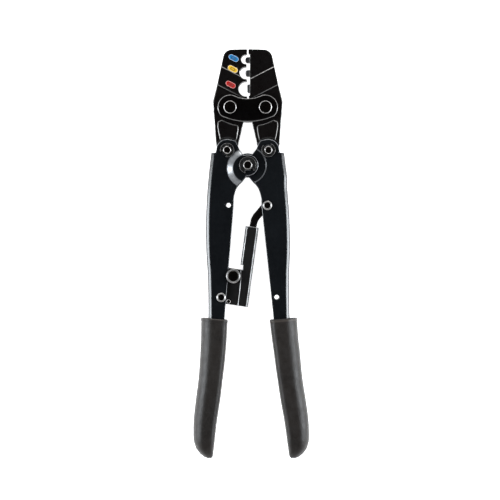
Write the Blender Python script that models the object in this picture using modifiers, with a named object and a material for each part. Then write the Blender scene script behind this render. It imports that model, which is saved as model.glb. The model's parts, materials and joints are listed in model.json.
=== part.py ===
"""Compound-lever ratchet crimping tool, lying on its back with the jaws towards +Y.

Outlines are drawn in millimetres from the centre pin, X to the right and Y to the jaws,
with Z measured from the tool's middle plane. The helpers turn them into metres.
"""
from math import atan2, ceil, cos, degrees, hypot, pi, radians, sin, tan

import bmesh
import bpy

MM = 0.001
CROWDED = 0.12

# Where the centre pin stands: the tool's box is centred on X and Y and rests on Z = 0.
CENTRE_X = -2.45
CENTRE_Y = 58.2
HALF_THICKNESS = 11.0

# Pivots
PIVOT_C = (0.0, 0.0)
PIVOT_A = (11.65, 38.25)
PIVOT_B = (13.6, 10.0)
BAR_RIVET = (12.97, -26.5)
HOUSING_RIVET = (-17.5, -87.2)
PAWL_AXIS = (-9.5, -73.1)
ANCHOR = (-12.7, -89.9)

# Sheet and plate levels, each a height above the middle plane
SHEET = 2.2
CHEEK_IN = 4.8
CHEEK_OUT = CHEEK_IN + SHEET
OUTER_EAR_IN = 6.7
OUTER_EAR_OUT = OUTER_EAR_IN + SHEET
INNER_EAR_IN = 4.2
INNER_EAR_OUT = INNER_EAR_IN + SHEET
BEND = 2.4
LINK_IN = 4.8
LINK_OUT = 7.6
JAW_FACE = 5.5
JAW_TIP_FACE = 5.1
JAW_WAIST = 4.5
JAW_TONGUE = 3.9

# Pins
PIN_A_R = 3.0
PIN_B_R = 3.0
PIN_C_R = 3.2
RUNNING = 0.2
OPEN_PIVOT_PLAY = 0.45
RIVET_R = 1.8
RIVET_HEAD_R = 3.1
HEAD_GAP = 0.25
HANDLE_PIN = {"radius": PIN_B_R, "seat": CHEEK_OUT, "end": 9.2, "head_r": 4.6, "foot": -9.0}
CENTER_PIN = {"radius": PIN_C_R, "seat": OUTER_EAR_OUT, "end": 10.9, "head_r": 5.6, "foot": -HALF_THICKNESS}
HANDLE_CLIP_R = 4.6
CENTER_CLIP_R = 5.6

# Handles, with a spare hole in each
SPARE_LEFT = (-12.7, -26.3)
SPARE_RIGHT = (19.1, -87.0)
SPARE_R = 1.8
LEFT_DISH = (-0.7, -2.0)
LEFT_RINGS = (9.8, 12.8)
RIGHT_RINGS = (11.1, 12.3)
EAR_LAP = 0.4
DISH_STEPS = 32
SEAM = 0.03
SPLAY = tan(radians(1.5))
EAR_R = 6.6
OUTER_LOBE_R = 6.95
INNER_LOBE_R = 8.0
HANDLE_END = -186.0
CAVITY_GAP = 0.35

# Jaws
TONGUE_R = 7.1
SHOULDER_R = 8.1
RIM_X = 13.0
TOP_Y = 76.7
HEAD_SLOPE = -0.515
LINK_STEP_Y = 44.1
TIP_STEP_Y = 57.4
NESTS = [(-1.0, 50.7, 5.2), (-1.2, 60.95, 4.1), (-1.2, 69.95, 3.3)]
MARKS = [("mark_red", -11.25, 53.7, JAW_FACE), ("mark_yellow", -9.9, 64.0, JAW_TIP_FACE),
         ("mark_blue", -9.3, 71.2, JAW_TIP_FACE)]
MARK_TILT = radians(-27)
MARK_HALF = 1.85
MARK_REACH = 1.75
MARK_DEPTH = 0.7

# Male die bar in the right jaw
DIE_STRIP = (2.0, 6.0)
DIE_LOW = 47.1
DIE_HIGH = 72.8
DIE_HALF = 2.4
DIE_GAP = 0.3

# Ratchet
LEAN = radians(7.6)
CHANNEL_X = 2.9
CHANNEL_Y = -40.5
BAR_HALF = 2.5
BAR_WIDTH = 4.0
BAR_END = 48.6
TOOTH_START = 20.0
TOOTH_PITCH = 2.2
TOOTH_COUNT = 12
TOOTH_DEPTH = 0.9
HOUSING_FACE = 4.3
HOUSING_WALL_IN = 2.9
HOUSING_BACK = -3.0
COVER_TOP = -3.25
POCKET_FACE = 3.8


# ---------------------------------------------------------------- drawing helpers

def arc(centre, radius, start, end, steps):
    """Points round a circle, with the angles in degrees."""
    points = []
    for i in range(steps + 1):
        angle = radians(start + (end - start) * i / steps)
        points.append((centre[0] + radius * cos(angle), centre[1] + radius * sin(angle)))
    return points


def rounded(corners):
    """A closed outline whose corners (x, y, radius) are turned into arcs."""
    points = []
    count = len(corners)
    for i, corner in enumerate(corners):
        x, y = corner[0], corner[1]
        radius = corner[2] if len(corner) > 2 else 0.0
        if radius == 0.0:
            points.append((x, y))
            continue
        before, after = corners[i - 1], corners[(i + 1) % count]
        ax, ay = before[0] - x, before[1] - y
        bx, by = after[0] - x, after[1] - y
        la, lb = hypot(ax, ay), hypot(bx, by)
        cosine = max(-1.0, min(1.0, (ax * bx + ay * by) / (la * lb)))
        turn = pi - abs(atan2(abs(ax * by - ay * bx) / (la * lb), cosine))
        reach = min(radius * tan(turn / 2), 0.48 * la, 0.48 * lb)
        radius = reach / tan(turn / 2)
        start = (x + ax / la * reach, y + ay / la * reach)
        end = (x + bx / lb * reach, y + by / lb * reach)
        mx, my = ax / la + bx / lb, ay / la + by / lb
        lm = hypot(mx, my)
        depth = hypot(radius, reach)
        cx, cy = x + mx / lm * depth, y + my / lm * depth
        a0 = atan2(start[1] - cy, start[0] - cx)
        a1 = atan2(end[1] - cy, end[0] - cx)
        sweep = (a1 - a0 + pi) % (2 * pi) - pi
        steps = max(1, ceil(degrees(abs(sweep)) / 20))
        for k in range(steps + 1):
            angle = a0 + sweep * k / steps
            points.append((cx + radius * cos(angle), cy + radius * sin(angle)))
    return points


def shrunk(outline, inset):
    """The outline moved inwards by a small distance."""
    outline = spaced(outline)
    area = sum(a[0] * b[1] - b[0] * a[1] for a, b in zip(outline, outline[1:] + outline[:1]))
    side = 1 if area > 0 else -1
    points = []
    for i, (x, y) in enumerate(outline):
        (x0, y0), (x1, y1) = outline[i - 1], outline[(i + 1) % len(outline)]
        length = hypot(x1 - x0, y1 - y0)
        points.append((x - side * (y1 - y0) / length * inset, y + side * (x1 - x0) / length * inset))
    return points


def mirrored(points):
    """The same outline on the other side of the tool."""
    return [(-p[0], *p[1:]) for p in points]


def splayed(points):
    """The right handle's outline: the left one mirrored, with its lower part leaning out."""
    return [(-p[0] - SPLAY * min(p[1], 0.0), *p[1:]) for p in points]


# ---------------------------------------------------------------- object helpers

def collection(name):
    group = bpy.data.collections.new(name)
    bpy.context.scene.collection.children.link(group)
    return group


def material(name, color, roughness, metallic):
    mat = bpy.data.materials.new(name)
    mat.use_nodes = True
    shader = mat.node_tree.nodes["Principled BSDF"]
    shader.inputs["Base Color"].default_value = (*color, 1.0)
    shader.inputs["Roughness"].default_value = roughness
    shader.inputs["Metallic"].default_value = metallic
    mat.diffuse_color = (*color, 1.0)
    return mat


def axis_empty(name, pivot, parent=None, parent_pivot=PIVOT_C):
    """An empty on a joint's axis, which carries the pieces of one moving body."""
    empty = bpy.data.objects.new(name, None)
    PARTS.objects.link(empty)
    if parent is None:
        empty.location = (CENTRE_X * MM, CENTRE_Y * MM, HALF_THICKNESS * MM)
    else:
        empty.parent = parent
        empty.location = ((pivot[0] - parent_pivot[0]) * MM, (pivot[1] - parent_pivot[1]) * MM, 0)
    empty["pivot"] = pivot
    return empty


def place(obj, body, z=0.0):
    """Hang a piece drawn from the centre pin under its body's empty."""
    pivot = body["pivot"]
    obj.parent = body
    obj.location = (-pivot[0] * MM, -pivot[1] * MM, z * MM)
    return obj


def spaced(outline):
    """The outline without points that crowd the one before."""
    kept = []
    for point in outline:
        if not kept or hypot(point[0] - kept[-1][0], point[1] - kept[-1][1]) > CROWDED:
            kept.append(point)
    if hypot(kept[0][0] - kept[-1][0], kept[0][1] - kept[-1][1]) <= CROWDED:
        kept.pop()
    return kept


def plate(name, outline, low, high, body):
    """A flat piece: an outline in the XY plane, from height low to height high."""
    outline = spaced([point[:2] for point in outline])
    curve = bpy.data.curves.new(name, "CURVE")
    curve.dimensions = "2D"
    curve.fill_mode = "BOTH"
    curve.extrude = (high - low) / 2 * MM
    spline = curve.splines.new("POLY")
    spline.points.add(len(outline) - 1)
    for point, (x, y) in zip(spline.points, outline):
        point.co = (x * MM, y * MM, 0, 1)
    spline.use_cyclic_u = True
    guide = bpy.data.objects.new(name, curve)
    PARTS.objects.link(guide)
    place(guide, body, (low + high) / 2)
    bpy.context.view_layer.update()
    return solid_from(guide)


def solid_from(guide):
    """The closed mesh of a curve object, which it replaces."""
    evaluated = guide.evaluated_get(bpy.context.evaluated_depsgraph_get())
    mesh = bpy.data.meshes.new_from_object(evaluated)
    bm = bmesh.new()
    bm.from_mesh(mesh)
    bmesh.ops.remove_doubles(bm, verts=bm.verts, dist=1e-6)
    bmesh.ops.recalc_face_normals(bm, faces=bm.faces)
    flat = [edge for edge in bm.edges if edge.calc_face_angle(1.0) < radians(0.2)]
    bmesh.ops.dissolve_edges(bm, edges=flat, use_verts=False)
    bm.to_mesh(mesh)
    bm.free()
    name = guide.name
    parent, location = guide.parent, guide.location.copy()
    curve = guide.data
    bpy.data.objects.remove(guide)
    bpy.data.curves.remove(curve)
    obj = bpy.data.objects.new(name, mesh)
    PARTS.objects.link(obj)
    obj.parent = parent
    obj.location = location
    return obj


def turned(name, profile, centre, body, steps=24, closed=False):
    """A turned piece about Z, its profile given as (radius, height) from top to bottom."""
    mesh = bpy.data.meshes.new(name)
    bm = bmesh.new()
    verts = [bm.verts.new((r * MM, 0, z * MM)) for r, z in profile]
    pairs = list(zip(verts, verts[1:]))
    if closed:
        pairs.append((verts[-1], verts[0]))
    for pair in pairs:
        bm.edges.new(pair)
    bm.to_mesh(mesh)
    bm.free()
    obj = bpy.data.objects.new(name, mesh)
    PARTS.objects.link(obj)
    pivot = body["pivot"]
    obj.parent = body
    obj.location = ((centre[0] - pivot[0]) * MM, (centre[1] - pivot[1]) * MM, 0)
    screw = obj.modifiers.new("turn", "SCREW")
    screw.steps = steps
    screw.render_steps = steps
    screw.use_merge_vertices = True
    screw.merge_threshold = 0.00001
    return obj


def rod(name, centre, radius, low, high, body, steps=24):
    """A plain round cutter or pin from height low to height high."""
    profile = [(0, high), (radius, high), (radius, low), (0, low)]
    return turned(name, profile, centre, body, steps)


def use_as_cutter(cutter):
    PARTS.objects.unlink(cutter)
    CUTTERS.objects.link(cutter)
    cutter.hide_render = True
    cutter.display_type = "WIRE"


def combine(obj, other, operation):
    step = obj.modifiers.new(operation.lower(), "BOOLEAN")
    step.operation = operation
    step.solver = "EXACT"
    step.object = other
    if other.name in PARTS.objects:
        use_as_cutter(other)


def mirror_z(obj):
    """A copy of the piece on the other face of the tool."""
    mirror = obj.modifiers.new("both_faces", "MIRROR")
    mirror.use_axis = (False, False, True)
    mirror.merge_threshold = 0.00001


def bevel(obj, width, segments=1, angle=40, weighted=False):
    step = obj.modifiers.new("edges", "BEVEL")
    step.width = width * MM
    step.segments = segments
    step.limit_method = "WEIGHT" if weighted else "ANGLE"
    step.angle_limit = radians(angle)
    step.use_clamp_overlap = False


def weigh_edges(obj, chosen):
    """Mark for the bevel each level edge whose two ends pass the test (x, y, z in mm)."""
    weights = obj.data.attributes.new("bevel_weight_edge", "FLOAT", "EDGE")
    verts = obj.data.vertices
    for edge in obj.data.edges:
        ends = [verts[i].co / MM for i in edge.vertices]
        level = abs(ends[0].z - ends[1].z) < 0.01
        weights.data[edge.index].value = 1.0 if level and all(chosen(*e) for e in ends) else 0.0


def finish(obj, mat):
    obj.data.materials.clear()
    obj.data.materials.append(mat)
    return obj


# ---------------------------------------------------------------- handles and grips

# The left handle's web side from top to bottom, then its open side from bottom to top
WEB_SIDE = [(-23.9, 8.4, 1.0), (-25.1, -3.0), (-26.4, -17.0), (-27.2, -33.0), (-27.3, -46.0),
            (-27.0, -58.0), (-26.2, -72.0), (-25.9, -88.0), (-26.0, -102.0), (-26.8, -118.0),
            (-28.3, -137.0), (-30.2, -155.0), (-31.4, -170.0), (-31.6, HANDLE_END, 3)]
OPEN_SIDE = [(-24.9, HANDLE_END, 2), (-23.7, -171.0), (-21.2, -154.0), (-18.1, -132.0),
             (-15.9, -111.0), (-14.8, -95.0), (-12.4, -62.4), (-9.8, -29.3, 30),
             (-8.7, -19.0, 8), (-5.2, -10.8, 6)]


def handle_outline(lobe_radius):
    """The left handle seen from the front, with its ears round the two pivots."""
    ear = arc((-PIVOT_B[0], PIVOT_B[1]), EAR_R, 163, 84, 5)
    lobe = arc(PIVOT_C, lobe_radius, 112, -95, 14)
    shoulder = [(-8.0, 16.3, 3.4), (-5.5, 10.6, 2.5)]
    return rounded(WEB_SIDE[:1] + ear + shoulder + lobe + OPEN_SIDE[::-1] + WEB_SIDE[:0:-1])


def web_room():
    """The inside of the channel: all that is not web, open past the cheeks."""
    web = [(x + SHEET, y) for x, y, *_ in WEB_SIDE[1:]]
    top = [(-40, 20), (40, 20), (40, -200), (web[-1][0], -200)]
    return top + web[::-1] + [(WEB_SIDE[0][0] + SHEET, 7.4), (-40, 7.4)]


def on_web_side(x, y, z):
    return abs(abs(z) - CHEEK_OUT) < 0.01 and x < -21.5 + 0.033 * y


def ears(name, centre, rings, levels, outline, body):
    """A pair of dished ears: flat in the middle, sloping down to the cheeks outside."""
    inner, outer = rings
    ear_in, ear_out = levels
    lap = outer + EAR_LAP
    start = 0.5
    high, low = CHEEK_OUT - SEAM, CHEEK_IN + SEAM
    profile = [(start, ear_out), (inner, ear_out), (outer, high), (lap, high),
               (lap, low), (outer, low), (inner, ear_in), (start, ear_in)]
    dish = turned(name, profile, centre, body, DISH_STEPS, closed=True)
    mirror_z(dish)
    combine(dish, plate(name + "_outline", shrunk(outline, SEAM), -12, 12, body), "INTERSECT")
    return dish


def handle(name, side, lobe_radius, dish, rings, levels, body):
    """One pressed channel handle with its web outside and its two ears."""
    shape = (lambda p: p) if side < 0 else splayed
    outline = shape(handle_outline(lobe_radius))
    blank = plate(name, outline, -CHEEK_OUT, CHEEK_OUT, body)
    if side < 0:
        weigh_edges(blank, on_web_side)
    else:
        weigh_edges(blank, lambda x, y, z: on_web_side(-x - SPLAY * min(y, 0.0), y, z))
    bevel(blank, BEND, 3, weighted=True)
    combine(blank, plate(name + "_room", shape(web_room()), -CHEEK_IN, CHEEK_IN, body), "DIFFERENCE")
    room = rings[1] + EAR_LAP / 4
    combine(blank, rod(name + "_ear_room", dish, room, -12, 12, body, DISH_STEPS), "DIFFERENCE")
    combine(blank, ears(name + "_ears", dish, rings, levels, outline, body), "UNION")
    return blank


def holes(obj, body, circles, reach=13.0):
    """Round holes (x, y, radius) right through a piece."""
    for i, (x, y, radius) in enumerate(circles):
        combine(obj, rod(f"{obj.name}_hole_{i}", (x, y), radius, -reach, reach, body, 20), "DIFFERENCE")


# The left grip's sections from its mouth down: y, outer side, inner side, half thickness
GRIP_SECTIONS = [(-101.5, -29.9, -14.0, 10.5), (-102.2, -30.4, -13.7, 11.0), (-116.0, -30.5, -14.4, 11.0),
                 (-129.0, -31.2, -15.4, 11.0), (-142.0, -32.2, -16.9, 11.0), (-155.0, -33.8, -18.5, 11.0),
                 (-168.0, -35.0, -20.6, 11.0), (-178.0, -35.1, -21.8, 11.0), (-183.0, -34.8, -22.3, 10.9),
                 (-187.0, -33.5, -22.7, 10.2), (-190.3, -31.0, -23.0, 8.8), (-192.3, -28.6, -23.4, 7.0),
                 (-193.1, -26.8, -24.2, 5.8)]
SECTION_SIDES = 24
SQUARENESS = 3.2


def section(y, outer, inner, half_z):
    """A rounded oblong ring of points in the plane at y."""
    power = 2 / SQUARENESS
    widest = sin(pi / 2 - pi / SECTION_SIDES) ** power
    middle, half_x = (outer + inner) / 2, abs(outer - inner) / 2
    ring = []
    for k in range(SECTION_SIDES):
        angle = 2 * pi * (k + 0.5) / SECTION_SIDES
        c, s = cos(angle), sin(angle)
        x = middle + half_x * (abs(c) ** power / widest) * (1 if c > 0 else -1)
        z = half_z * (abs(s) ** power / widest) * (1 if s > 0 else -1)
        ring.append((x, y, z))
    return ring


def loft(name, rings, body):
    """A closed solid through a row of rings that all have the same number of points."""
    mesh = bpy.data.meshes.new(name)
    bm = bmesh.new()
    rows = [[bm.verts.new((x * MM, y * MM, z * MM)) for x, y, z in ring] for ring in rings]
    for row, after in zip(rows, rows[1:]):
        for i in range(len(row)):
            bm.faces.new((row[i - 1], row[i], after[i], after[i - 1]))
    bm.faces.new(rows[0])
    bm.faces.new(rows[-1])
    bmesh.ops.recalc_face_normals(bm, faces=bm.faces)
    bm.to_mesh(mesh)
    bm.free()
    obj = bpy.data.objects.new(name, mesh)
    PARTS.objects.link(obj)
    return place(obj, body)


def grip(name, side, body):
    """A soft sleeve, open at the top, over the lower part of a handle."""
    shape = (lambda p: p) if side < 0 else splayed
    rings = []
    for y, outer, inner, half_z in GRIP_SECTIONS:
        (left_x, _), (right_x, _) = shape([(outer, y), (inner, y)])
        rings.append(section(y, left_x, right_x, half_z))
    sleeve = loft(name, rings, body)
    top = -90.0
    web = [(x - CAVITY_GAP, y) for x, y, *_ in WEB_SIDE if y < -97]
    inside = [(x + CAVITY_GAP, y) for x, y, *_ in OPEN_SIDE if y < -94]
    web[-1] = (web[-1][0], HANDLE_END - CAVITY_GAP)
    inside[0] = (inside[0][0], HANDLE_END - CAVITY_GAP)
    hollow = [(web[0][0], top)] + web + inside + [(inside[-1][0], top)]
    depth = CHEEK_OUT + CAVITY_GAP
    combine(sleeve, plate(name + "_hollow", shape(hollow), -depth, depth, body), "DIFFERENCE")
    return sleeve


# ---------------------------------------------------------------- jaws, dies and links

def jaw_back():
    """The left jaw's outside, from the top round to the foot of its inner edge."""
    tongue = arc((-PIVOT_B[0], PIVOT_B[1]), TONGUE_R, 180, 355, 12)
    return [(-14.9, TOP_Y - 0.2, 3.6), (-22.7, 41.5, 9.0)] + tongue + \
           [(-6.3, 13.0, 2.0), (-2.9, 27.6, 8.0), (-0.4, 38.3, 2.0)]


def nest_side():
    """The left jaw's biting edge, from the bottom up: three round nests between noses."""
    edge = [(-0.4, 45.4)]
    for x, y, radius in NESTS:
        mouth = degrees(atan2(1.0, 0.16))
        edge += arc((x, y), radius, 360 - mouth, mouth, 12)
    return edge + [(-0.4, 73.6), (-0.4, TOP_Y)]


def anvil_side():
    """The other jaw's biting edge, drawn as if it were on the left."""
    return [(-0.7, 44.4, 0.3), (-0.7, 45.7), (-1.7, 46.3), (-1.7, 73.4), (-0.4, 73.9), (-0.4, TOP_Y)]


def slant(x, level):
    """A point on the slanting line that crosses the left jaw at this level near its edge."""
    return (x, level + HEAD_SLOPE * (x + 2.3))


def waist_room():
    """The sunk part of a jaw face: below the slanting step and round the raised panel."""
    under = arc((-PIVOT_B[0], PIVOT_B[1]), SHOULDER_R, 130, 50, 5)
    panel = [(-30, 28.8), (-20.0, 28.8, 0.5), (-17.1, 30.0, 1.0), (-12.9, 27.9, 4), (-9.5, 26.8, 4),
             (-6.2, 26.2, 1.2), (-6.4, 22.5, 2), (-7.6, 16.4, 1.2)]
    lower = under[::-1] + [(-30, under[0][1]), (-30, -5), (4, -5), (4, 45.3), (-4.6, 45.3)]
    return rounded([slant(-30, LINK_STEP_Y)] + panel + lower)


def tip_room():
    """The part of a jaw face above the upper slanting step."""
    return [slant(-30, TIP_STEP_Y), slant(4, TIP_STEP_Y), (4, 90), (-30, 90)]


def jaw(name, side, edge, bore_b, body):
    """One jaw: its faces step down at the two slanting lines and round the raised panel."""
    shape = (lambda p: p) if side < 0 else mirrored
    blank = plate(name, shape(rounded(jaw_back() + edge)), -JAW_FACE, JAW_FACE, body)
    weigh_edges(blank, lambda x, y, z: x * side > RIM_X and PIVOT_B[1] - 1 < y < TOP_Y - 2.7)
    bevel(blank, 1.2, 2, weighted=True)
    for room, level in ((waist_room, JAW_WAIST), (tip_room, JAW_TIP_FACE)):
        cutter = plate(f"{name}_{room.__name__}", shape(room()), level, level + 4, body)
        place(cutter, body, 0)
        for vert in cutter.data.vertices:
            vert.co.z += (level + 2) * MM
        mirror_z(cutter)
        combine(blank, cutter, "DIFFERENCE")
    centre = shape([(-PIVOT_B[0], PIVOT_B[1])])[0]
    ring = [(4.5, 9.0), (SHOULDER_R, 9.0), (SHOULDER_R, JAW_TONGUE), (4.5, JAW_TONGUE)]
    shoulder = turned(name + "_shoulder", ring, centre, body, closed=True)
    mirror_z(shoulder)
    combine(blank, shoulder, "DIFFERENCE")
    hinge = shape([(-PIVOT_A[0], PIVOT_A[1])])[0]
    holes(blank, body, [(*hinge, PIN_A_R + RUNNING), (*centre, bore_b)])
    return blank


def stadium(x, y, half, reach, angle):
    """A flat outline with two round ends, turned by an angle."""
    points = arc((reach, 0), half, -90, 90, 8) + arc((-reach, 0), half, 90, 270, 8)
    return [(x + u * cos(angle) - v * sin(angle), y + u * sin(angle) + v * cos(angle))
            for u, v in points]


def indenter_outline():
    """The male die bar: a strip with three noses."""
    left, right = DIE_STRIP
    return [(right, DIE_LOW), (right, DIE_HIGH), (left, DIE_HIGH),
            (left, 71.7), (-1.65, 71.7, 1.9), (-1.65, 67.6, 1.9), (left, 67.6),
            (left, 63.1), (-1.5, 63.1, 2.0), (-1.5, 58.7, 2.0), (left, 58.7),
            (left, 53.6), (-0.4, 53.6, 1.8), (-0.4, 47.9, 1.8), (left, 47.9), (left, DIE_LOW)]


def die_room_outline():
    """The slot in the right jaw that the die bar sits in, open at the jaw's edge."""
    low, high, back = DIE_LOW - DIE_GAP, DIE_HIGH + DIE_GAP, DIE_STRIP[1] + DIE_GAP
    return [(0.0, low), (back, low), (back, high), (0.0, high)]


def link_outline():
    """Two round lobes joined by a dipped top edge and a bowed bottom edge."""
    lobe = 8.2
    left = arc((-PIVOT_A[0], PIVOT_A[1]), lobe, 70, 226, 11)
    bottom = [(x, 28.65 + x * x / 82.0) for x in (-12.5, -8.0, -4.0, 0.0)]
    top = [(-6.0, 44.85), (-3.0, 44.2)]
    half = top[::-1] + left + bottom[:-1]
    return half + [bottom[-1]] + mirrored(half)[::-1] + [(0.0, 44.0)]


# ---------------------------------------------------------------- pins, clips and rivets

def grooved_pin(name, centre, body, radius, seat, end, head_r, foot):
    """A headed pin from the rear, with a groove for its clip in front."""
    groove = radius - 0.7
    nose = radius - 1.1
    back = -(seat + HEAD_GAP)
    profile = [(0, end), (nose, end), (radius - 0.1, end - 0.6), (radius - 0.1, seat + 1.45),
               (groove, seat + 1.45), (groove, seat + 0.2), (radius, seat + 0.2), (radius, back),
               (head_r, back), (head_r, foot + 0.5), (head_r - 0.5, foot), (0, foot)]
    return turned(name, profile, centre, body)


def e_clip(name, centre, radius, outer, seat, opening, body):
    """An open spring clip with three inner lugs, its mouth turned to the opening angle."""
    groove = radius - 0.7 + 0.2
    relief = groove + 0.9
    half = 32
    rim = arc(centre, outer, opening + half, opening + 360 - half, 22)
    inner = []
    for start, end, radius_in in ((-55, -100, groove), (-110, -150, relief), (-160, -200, groove),
                                  (-210, -250, relief), (-260, -305, groove)):
        inner += arc(centre, radius_in, opening + start, opening + end, 3)
    low = seat + 0.3
    return plate(name, rim + inner, low, low + 0.95, body)


def eyelet_rivet(name, centre, body):
    """A rivet with a dished head on each cheek."""
    seat = CHEEK_OUT + HEAD_GAP
    face = seat + 1.0
    top = [(0, face - 0.5), (1.3, face - 0.5), (1.6, face), (RIVET_HEAD_R - 0.5, face),
           (RIVET_HEAD_R, face - 0.5), (RIVET_HEAD_R, seat), (RIVET_R, seat)]
    bottom = [(r, -z) for r, z in top[::-1]]
    return turned(name, top + bottom, centre, body)


# ---------------------------------------------------------------- ratchet

def along(u, v):
    """A point u down the ratchet's sliding axis and v to its right."""
    return (CHANNEL_X - u * sin(LEAN) + v * cos(LEAN), CHANNEL_Y - u * cos(LEAN) - v * sin(LEAN))


def bar_outline():
    """The toothed bar: an eye on its rivet, a bent neck and a straight rack."""
    half = BAR_WIDTH / 2
    eye = arc(BAR_RIVET, 3.5, 130, -60, 10)
    right = [(10.3, -32.6), (8.2, -34.9, 3), (6.7, -37.0, 6), (5.9, -40.4, 1), (*along(2.6, half), 1)]
    left = [(*along(2.6, -half), 1), (1.2, -39.6, 2), (2.0, -35.3, 6), (3.7, -32.2, 6), (6.3, -29.2, 6)]
    rack = [(*along(BAR_END, half), 0.6), (*along(BAR_END, -half), 0.6)]
    for i in reversed(range(TOOTH_COUNT)):
        u = TOOTH_START + i * TOOTH_PITCH
        rack.append(along(u + TOOTH_PITCH, -half))
        rack.append(along(u + 0.25 * TOOTH_PITCH, -half + TOOTH_DEPTH))
    rack.append(along(TOOTH_START, -half))
    return rounded(eye + right + rack + left)


HOUSING_EDGE = [(-1.5, -39.9, 0.6), (7.3, -41.2, 0.6), (0.2, -93.8, 0.6), (-18.2, -91.0, 4.0),
                (-22.0, -86.6, 4.0), (-19.6, -66.4, 1.5), (-3.4, -68.9), (-3.2, -66.0),
                (-4.9, -65.6)]
HOUSING_INSIDE = [(0.2, -36.0), (6.8, -36.0), (-0.8, -92.4), (-17.6, -89.7, 3.0),
                  (-20.8, -86.4, 3.0), (-18.5, -68.0, 0.5), (-18.3, -67.9), (-4.35, -70.4)]
POCKET_STEP = [(-40, -60), (-4.6, -60), (-4.6, -76.3), (-7.4, -100), (-40, -100)]


def housing(body):
    """The front half of the ratchet housing: a pressed tray that the bar slides in."""
    tray = plate("ratchet_housing", rounded(HOUSING_EDGE), HOUSING_BACK, HOUSING_FACE, body)
    top = (HOUSING_FACE - HOUSING_BACK) / 2
    weigh_edges(tray, lambda x, y, z: abs(z - top) < 0.01)
    bevel(tray, 0.9, 2, weighted=True)
    inside = plate("housing_room", rounded(HOUSING_INSIDE), HOUSING_BACK - 2, HOUSING_WALL_IN, body)
    combine(tray, inside, "DIFFERENCE")
    combine(tray, plate("pocket_step", POCKET_STEP, POCKET_FACE, POCKET_FACE + 3, body), "DIFFERENCE")
    return tray


def pawl_outline():
    """A hub with a pointed finger towards the rack and a short tail for its spring."""
    hub = arc(PAWL_AXIS, 3.1, 20, 215, 10)
    tail = [(-13.9, -76.2, 0.8), (-13.2, -78.0, 0.8), (-10.4, -76.6, 1.0)]
    finger = [(-7.6, -77.2, 1.0), (-5.9, -78.6, 0.3), (-5.3, -77.6, 0.3)]
    return rounded(hub + tail + finger)


def pawl_spring(body):
    """A close-wound pull spring from the anchor pin to the pawl's tail."""
    turns = 7
    per_turn = 9
    start = (-12.9, -87.2)
    end = (-13.3, -80.4)
    curve = bpy.data.curves.new("pawl_spring", "CURVE")
    curve.dimensions = "3D"
    curve.bevel_depth = 0.3 * MM
    curve.bevel_resolution = 1
    curve.use_fill_caps = True
    spline = curve.splines.new("POLY")
    count = turns * per_turn
    spline.points.add(count)
    for i in range(count + 1):
        share = i / count
        angle = 2 * pi * i / per_turn
        x = start[0] + (end[0] - start[0]) * share + 1.1 * cos(angle)
        y = start[1] + (end[1] - start[1]) * share
        spline.points[i].co = (x * MM, y * MM, 1.1 * sin(angle) * MM, 1)
    guide = bpy.data.objects.new("pawl_spring", curve)
    PARTS.objects.link(guide)
    place(guide, body)
    bpy.context.view_layer.update()
    return solid_from(guide)


# ---------------------------------------------------------------- build

for old in list(bpy.data.objects):
    bpy.data.objects.remove(old, do_unlink=True)

PARTS = collection("ratchet_crimping_tool")
CUTTERS = collection("cutters")

BLACK_STEEL = material("black_steel", (0.018, 0.019, 0.022), 0.35, 0.9)
BLACK_OXIDE = material("black_oxide", (0.012, 0.011, 0.011), 0.42, 0.9)
PIN_STEEL = material("pin_steel", (0.10, 0.10, 0.105), 0.3, 1.0)
BRIGHT_STEEL = material("bright_steel", (0.55, 0.55, 0.55), 0.25, 1.0)
HOUSING_STEEL = material("housing_steel", (0.025, 0.025, 0.027), 0.45, 0.8)
GRIP_RUBBER = material("grip_rubber", (0.045, 0.043, 0.042), 0.7, 0.0)
MARK_PAINT = {
    "mark_red": material("red_enamel", (0.55, 0.02, 0.03), 0.4, 0.0),
    "mark_yellow": material("yellow_enamel", (0.75, 0.55, 0.08), 0.4, 0.0),
    "mark_blue": material("blue_enamel", (0.03, 0.2, 0.55), 0.4, 0.0),
}

B_LEFT = (-PIVOT_B[0], PIVOT_B[1])
A_LEFT = (-PIVOT_A[0], PIVOT_A[1])

left_handle = axis_empty("left_handle_axis", PIVOT_C)
right_handle = axis_empty("right_handle_axis", PIVOT_C, left_handle)
left_jaw = axis_empty("left_jaw_axis", B_LEFT, left_handle)
links = axis_empty("links_axis", A_LEFT, left_jaw, B_LEFT)
right_jaw = axis_empty("right_jaw_axis", PIVOT_A, links, A_LEFT)
bar_axis = axis_empty("ratchet_bar_axis", BAR_RIVET, right_handle)
housing_axis = axis_empty("ratchet_housing_axis", HOUSING_RIVET, left_handle)
pawl_axis = axis_empty("pawl_axis", PAWL_AXIS, housing_axis, HOUSING_RIVET)

# Handles: the left one's ears ride outside the right one's
left = handle("handle_left", -1, OUTER_LOBE_R, LEFT_DISH, LEFT_RINGS,
              (OUTER_EAR_IN, OUTER_EAR_OUT), left_handle)
holes(left, left_handle, [(*PIVOT_C, PIN_C_R + RUNNING), (*B_LEFT, PIN_B_R + RUNNING),
                          (*SPARE_LEFT, SPARE_R), (*HOUSING_RIVET, RIVET_R + RUNNING)])
finish(left, BLACK_STEEL)
right = handle("handle_right", 1, INNER_LOBE_R, PIVOT_C, RIGHT_RINGS,
               (INNER_EAR_IN, INNER_EAR_OUT), right_handle)
holes(right, right_handle, [(*PIVOT_C, PIN_C_R + RUNNING), (*PIVOT_B, PIN_B_R + RUNNING),
                            (*SPARE_RIGHT, SPARE_R), (*BAR_RIVET, RIVET_R + RUNNING)])
finish(right, BLACK_STEEL)
finish(grip("grip_left", -1, left_handle), GRIP_RUBBER)
finish(grip("grip_right", 1, right_handle), GRIP_RUBBER)

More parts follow.
